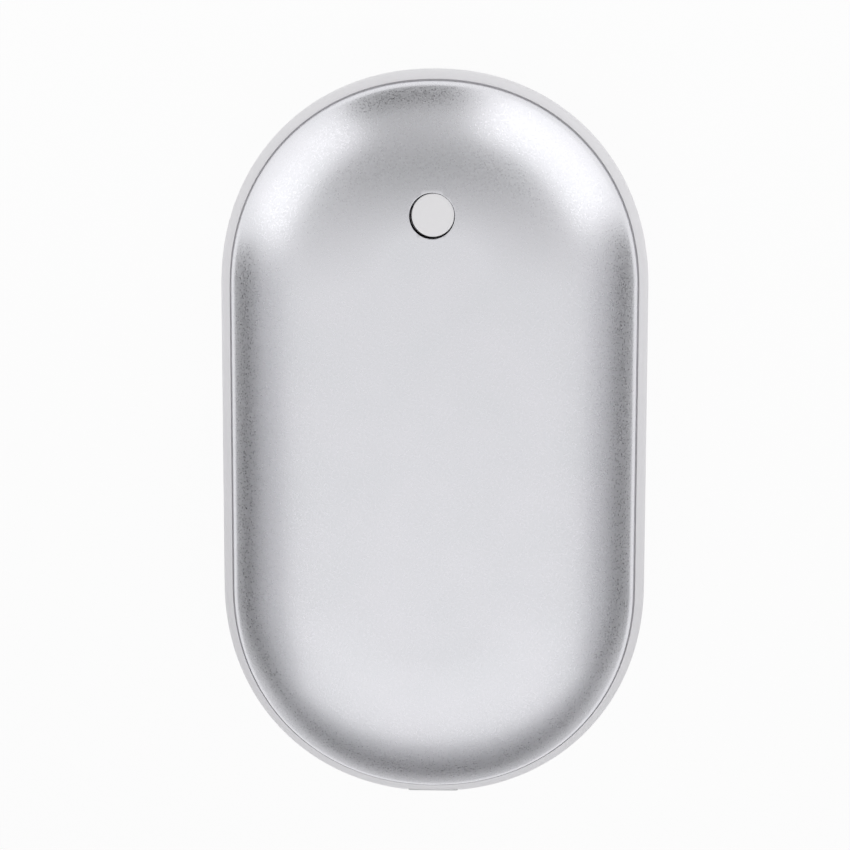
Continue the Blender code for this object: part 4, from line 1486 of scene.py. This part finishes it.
@dataclass
class FoamPads:
    """The two foam pads between the cells and the liners: cut sheets with soft edges.

    Attributes:
        wardrobe: Where the finishes come from.
        corner: Radius of the pads' corners seen from above.
        soft_edge: How far a cut edge rounds over.
        edge_steps: Stretches over a cut edge.
        steps: Stretches in each corner.
        fill: How tight the foam is; not used.
    """

    wardrobe: Wardrobe
    corner: float = 0.0014
    soft_edge: float = 0.0003
    edge_steps: int = 6
    steps: int = 6
    fill: float = 0.8

    def pad(self, node: str) -> Object:
        """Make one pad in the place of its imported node.

        Args:
            node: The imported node.

        Returns:
            The new object.
        """
        low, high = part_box(node)
        centre = (low + high) / 2
        half = (high - low) / 2
        rings = []
        for step in range(self.edge_steps + 1):
            angle = math.pi * (step / self.edge_steps - 0.5)
            draw_in = self.soft_edge * (1 - math.cos(angle))
            rings.append(self.corner_ring(centre, half, draw_in, half.z * math.sin(angle)))
        return skin(f"{node}_skin", rings)

    def corner_ring(
        self, centre: Vector, half: Vector, draw_in: float, height: float
    ) -> list[Vector]:
        """Draw a rectangle with round corners as a ring.

        Args:
            centre: The pad's centre.
            half: Half its size each way.
            draw_in: How far this ring is drawn in.
            height: Its height from the centre.

        Returns:
            The ring's points.
        """
        points = []
        reach_x, reach_y = half.x - self.corner, half.y - self.corner
        radius = self.corner - draw_in
        for number, (side_x, side_y) in enumerate(((1, 1), (-1, 1), (-1, -1), (1, -1))):
            for step in range(self.steps + 1):
                angle = math.pi / 2 * (number + step / self.steps)
                x = side_x * reach_x + radius * math.cos(angle)
                y = side_y * reach_y + radius * math.sin(angle)
                points.append(centre + Vector((x, y, height)))
        return points

    def build(self) -> None:
        """Make both pads."""
        for node in ("front_foam_pad", "rear_foam_pad"):
            pad = self.pad(node)
            self.wardrobe.dress_piece(pad, Slot.FOAM, "root", [node])


@dataclass
class InnerWorks:
    """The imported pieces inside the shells, which keep their shape and get their finishes.

    Attributes:
        wardrobe: Where the finishes come from.
        nodes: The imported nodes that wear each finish.
    """

    wardrobe: Wardrobe
    nodes: Mapping[Slot, Sequence[str]] = field(
        default_factory=lambda: {
            Slot.LINER: ("front_liner", "rear_liner"),
            Slot.HEATER: ("front_heater_film", "rear_heater_film"),
            Slot.WRAP: ("battery_cell_left", "battery_cell_right"),
            Slot.NICKEL: ("nickel_strip_top", "nickel_strip_bottom"),
            Slot.BOARD: ("button_board", "main_board"),
            Slot.CHIP: ("charger_chip", "heater_driver_chip", "charge_inductor"),
            Slot.SWITCH: ("switch_body", "switch_plunger"),
            Slot.LAMP: ("led_left", "led_right"),
            Slot.STEEL: (
                "switch_snap_disc",
                *(f"case_screw_{number}" for number in (1, 2, 3, 4)),
                *(f"button_board_screw_{side}" for side in ("left", "right")),
                *(f"main_board_screw_{side}" for side in ("left", "right")),
            ),
            Slot.RED_LEAD: ("battery_lead_positive",),
            Slot.BLACK_LEAD: ("battery_lead_negative", "temperature_sensor"),
            Slot.WHITE_LEAD: ("button_cable", "front_heater_lead", "rear_heater_lead"),
        }
    )

    def build(self) -> None:
        """Dress every node."""
        for slot, names in self.nodes.items():
            for name in names:
                self.wardrobe.dress_node(name, slot)


# Studio


def matt_material(name: str, colour: str) -> tuple[Material, NodeSocket]:
    """Make a matt material without any highlight.

    Args:
        name: What the surface is.
        colour: Its sRGB colour.

    Returns:
        The new material, and the socket that its paint comes from.
    """
    material = bpy.data.materials.new(name)
    material.use_nodes = True
    tree = material.node_tree
    tree.nodes.remove(tree.nodes[SHADER])
    paint = add_node(tree, "BsdfDiffuse", {"Color": linear(colour)})
    tree.links.new(paint.outputs[0], tree.nodes["Material Output"].inputs["Surface"])
    return material, paint.outputs[0]


def flat_piece(name: str, corners: Sequence[Vector], material: Material) -> Object:
    """Make a piece that is one flat face.

    Args:
        name: The piece's name.
        corners: The face's four corners, in order.
        material: The piece's material.

    Returns:
        The new piece.
    """
    mesh = bpy.data.meshes.new(name)
    mesh.from_pydata(corners, [], [(0, 1, 2, 3)])
    mesh.materials.append(material)
    return new_object(name, mesh)


@dataclass(frozen=True)
class Softbox:
    """A rectangular studio lamp that faces the object.

    Attributes:
        name: Its name.
        azimuth: Its way from the object seen from above, in degrees from +X towards +Y.
        lean: Its angle from straight up, in degrees.
        width: Its width.
        height: Its height.
        brightness: How bright its face is, where 1 is white.
        distance: Its distance.
    """

    name: str
    azimuth: float
    lean: float
    width: float
    height: float
    brightness: float
    distance: float = 0.9

    def build(self, target: Vector) -> None:
        """Hang the lamp and aim it at the target.

        Args:
            target: Where it points.
        """
        lamp = bpy.data.lights.new(self.name, "AREA")
        lamp.shape = "RECTANGLE"
        lamp.size, lamp.size_y = self.width, self.height
        # The power at which a face of this size looks as bright as white
        lamp.energy = self.brightness * math.pi * self.width * self.height
        azimuth, lean = math.radians(self.azimuth), math.radians(self.lean)
        across = math.sin(lean)
        way = Vector((across * math.cos(azimuth), across * math.sin(azimuth), math.cos(lean)))
        stand = bpy.data.objects.new(self.name, lamp)
        stand.location = target + way * self.distance
        stand.rotation_euler = way.to_track_quat("Z", "Y").to_euler()
        bpy.context.scene.collection.objects.link(stand)
        log.info("lamp %s at %s", self.name, tuple(round(part, 3) for part in stand.location))


@dataclass(frozen=True)
class TableBoard:
    """A low board that stands at the edge of the table, out of the picture.

    The metal's steep rim mirrors the dark ones, which draws the dark zone round the shells, and the
    pale ones behind them, which softens that zone's end.

    Attributes:
        name: Its name.
        start: X and Y of one lower corner.
        end: X and Y of the other.
        height: Its height.
        colour: Its sRGB colour.
        lift: How far it hangs over the floor.
    """

    name: str
    start: Point
    end: Point
    height: float
    colour: str
    lift: float = 0.0005

    def build(self) -> None:
        """Stand the board on the floor, where only the object sees it."""
        base = [Vector((*self.start, self.lift)), Vector((*self.end, self.lift))]
        top = Vector((0.0, 0.0, self.height))
        felt, _ = matt_material(f"{self.name}_felt", self.colour)
        board = flat_piece(self.name, [*base, base[1] + top, base[0] + top], felt)
        board.visible_camera = False


@dataclass
class Studio:
    """Pale floor, soft lamps, even room light and the camera above the button end.

    Attributes:
        form: The body's form.
        lamps: The softboxes.
        boards: The dark boards round the table, and the pale ones behind them.
        tent: Brightness of the white tent round the table.
        opening: Brightness of the middle of its opening, which runs across the tent.
        opening_line: Share of the way towards +Y at which the opening lies.
        opening_reach: Share of that way over which the opening fades into the tent.
        floor_size: Width of the floor.
        floor_colour: Its sRGB colour.
        floor_glow: Share of plain white in what the camera and reflections see of the floor.
        lean: The camera's lean towards the button end, in degrees.
        side_lean: Its lean to one side.
        roll: Its turn about its own axis.
        distance: The camera's distance from the body's centre along its own axis.
        shift_x: How far the body's centre lies to the right of the picture's middle.
        shift_y: How far it lies above the picture's middle.
        lens_mm: Focal length on the sensor.
        sensor_mm: Width of the sensor.
        clip_start: Where the camera's view starts.
    """

    form: BodyForm
    lamps: Sequence[Softbox] = (
        Softbox("right_box", azimuth=47, lean=74, width=0.99, height=0.54, brightness=0.94),
        Softbox("left_box", azimuth=143, lean=75, width=0.84, height=0.46, brightness=0.88),
    )
    boards: Sequence[TableBoard] = (
        TableBoard("board_left", (-0.115, 0.036), (-0.115, -0.11), 0.029, "#343436"),
        TableBoard("board_below", (-0.115, -0.11), (0.14, -0.11), 0.0225, "#808082"),
        TableBoard("board_right", (0.14, -0.11), (0.14, 0.05), 0.0345, "#4A4A4C"),
        TableBoard("back_left", (-0.125, 0.03), (-0.125, -0.12), 0.08, "#EAEAEC"),
        TableBoard("back_below", (-0.125, -0.12), (0.15, -0.12), 0.048, "#E6E6E8"),
        TableBoard("back_right", (0.15, -0.12), (0.15, 0.045), 0.085, "#EAEAEC"),
        TableBoard("board_above", (0.02, 0.2), (-0.09, 0.2), 0.045, "#101012"),
    )
    tent: float = 0.98
    opening: float = 0.38
    opening_line: float = 0.63
    opening_reach: float = 0.88
    floor_size: float = 6.0
    floor_colour: str = "#F4F4F4"
    floor_glow: float = 0.93
    lean: float = 8.82
    side_lean: float = -1.71
    roll: float = -0.35
    distance: float = 0.3755
    shift_x: float = 0.001336
    shift_y: float = -0.00177
    lens_mm: float = 108.57
    sensor_mm: float = 36.0
    clip_start: float = 0.01

    def floor_material(self) -> Material:
        """Make the floor's paint: matt and pale, and near white to the camera.

        Part of the paint is left in what the camera sees, so that the object keeps its shadow.

        Returns:
            The new material.
        """
        material, paint = matt_material("painted_board_matt", self.floor_colour)
        tree = material.node_tree
        glow = add_node(tree, "Emission", {"Color": linear("#FFFFFF"), "Strength": 1.0})
        rays = add_node(tree, "LightPath")
        seen = add_node(
            tree,
            "Math",
            {0: rays.outputs["Is Camera Ray"], 1: rays.outputs["Is Glossy Ray"]},
            operation="ADD",
        )
        seen = add_node(
            tree,
            "Math",
            {0: seen.outputs[0], 1: rays.outputs["Is Transmission Ray"]},
            operation="ADD",
            use_clamp=True,
        )
        share = add_node(
            tree, "Math", {0: seen.outputs[0], 1: self.floor_glow}, operation="MULTIPLY"
        )
        mixed = add_node(tree, "MixShader", {0: share.outputs[0], 1: paint, 2: glow.outputs[0]})
        tree.links.new(mixed.outputs[0], tree.nodes["Material Output"].inputs["Surface"])
        return material

    def floor(self) -> None:
        """Lay the floor under the body."""
        half = self.floor_size / 2
        signs = ((-1, -1), (1, -1), (1, 1), (-1, 1))
        corners = [Vector((x * half, y * half, 0.0)) for x, y in signs]
        board = flat_piece("floor", corners, self.floor_material())

    def tent_light(self) -> None:
        """Light the room as a white tent that is dimmer along an opening across it."""
        world = bpy.data.worlds.new("studio_tent")
        world.use_nodes = True
        tree = world.node_tree
        way = add_node(tree, "TexCoord")
        parts = add_node(tree, "SeparateXYZ", {"Vector": way.outputs["Generated"]})
        offset = add_node(
            tree, "Math", {0: parts.outputs["Y"], 1: self.opening_line}, operation="SUBTRACT"
        )
        away = add_node(tree, "Math", {0: offset.outputs["Value"]}, operation="ABSOLUTE")
        level = add_node(
            tree,
            "MapRange",
            {
                "Value": away.outputs["Value"],
                "From Max": self.opening_reach,
                "To Min": self.opening,
                "To Max": self.tent,
            },
        )
        back = tree.nodes["Background"]
        back.inputs["Color"].default_value = (1.0, 1.0, 1.0, 1.0)
        tree.links.new(level.outputs["Result"], back.inputs["Strength"])
        bpy.context.scene.world = world

    def camera(self) -> None:
        """Stand the camera over the body as the photograph was taken."""
        turns = ((self.roll, "Z"), (self.side_lean, "Y"), (self.lean, "X"))
        turn = Matrix.Identity(3)
        for degrees, axis in turns:
            turn = turn @ Matrix.Rotation(math.radians(degrees), 3, axis)
        turn.transpose()
        data = bpy.data.cameras.new("camera")
        data.lens = self.lens_mm
        data.sensor_width = self.sensor_mm
        data.clip_start = self.clip_start
        stand = bpy.data.objects.new("camera", data)
        centre = Vector((0.0, 0.0, self.form.middle))
        place = centre + turn @ Vector((-self.shift_x, -self.shift_y, self.distance))
        stand.matrix_world = Matrix.Translation(place) @ turn.to_4x4()
        bpy.context.scene.collection.objects.link(stand)
        bpy.context.scene.camera = stand

    def build(self) -> None:
        """Set up the whole studio."""
        self.floor()
        self.tent_light()
        for lamp in self.lamps:
            lamp.build(Vector((0.0, 0.0, self.form.middle)))
        for board in self.boards:
            board.build()
        self.camera()
        bpy.context.scene.view_settings.view_transform = "Standard"


def main() -> None:
    """Build the studio and the warmer, piece by piece."""
    logging.basicConfig(level=logging.INFO, format="%(message)s")
    form = BodyForm.from_frame()
    wardrobe = Wardrobe(FINISHES)
    Studio(form).build()
    button = Button(form, wardrobe)
    ShellPair(form, wardrobe).build(button.centre())
    Band(form, wardrobe).build()
    button.build()
    ChargingSocket(form, wardrobe).build()
    FoamPads(wardrobe).build()
    InnerWorks(wardrobe).build()


if __name__ == "__main__":
    main()
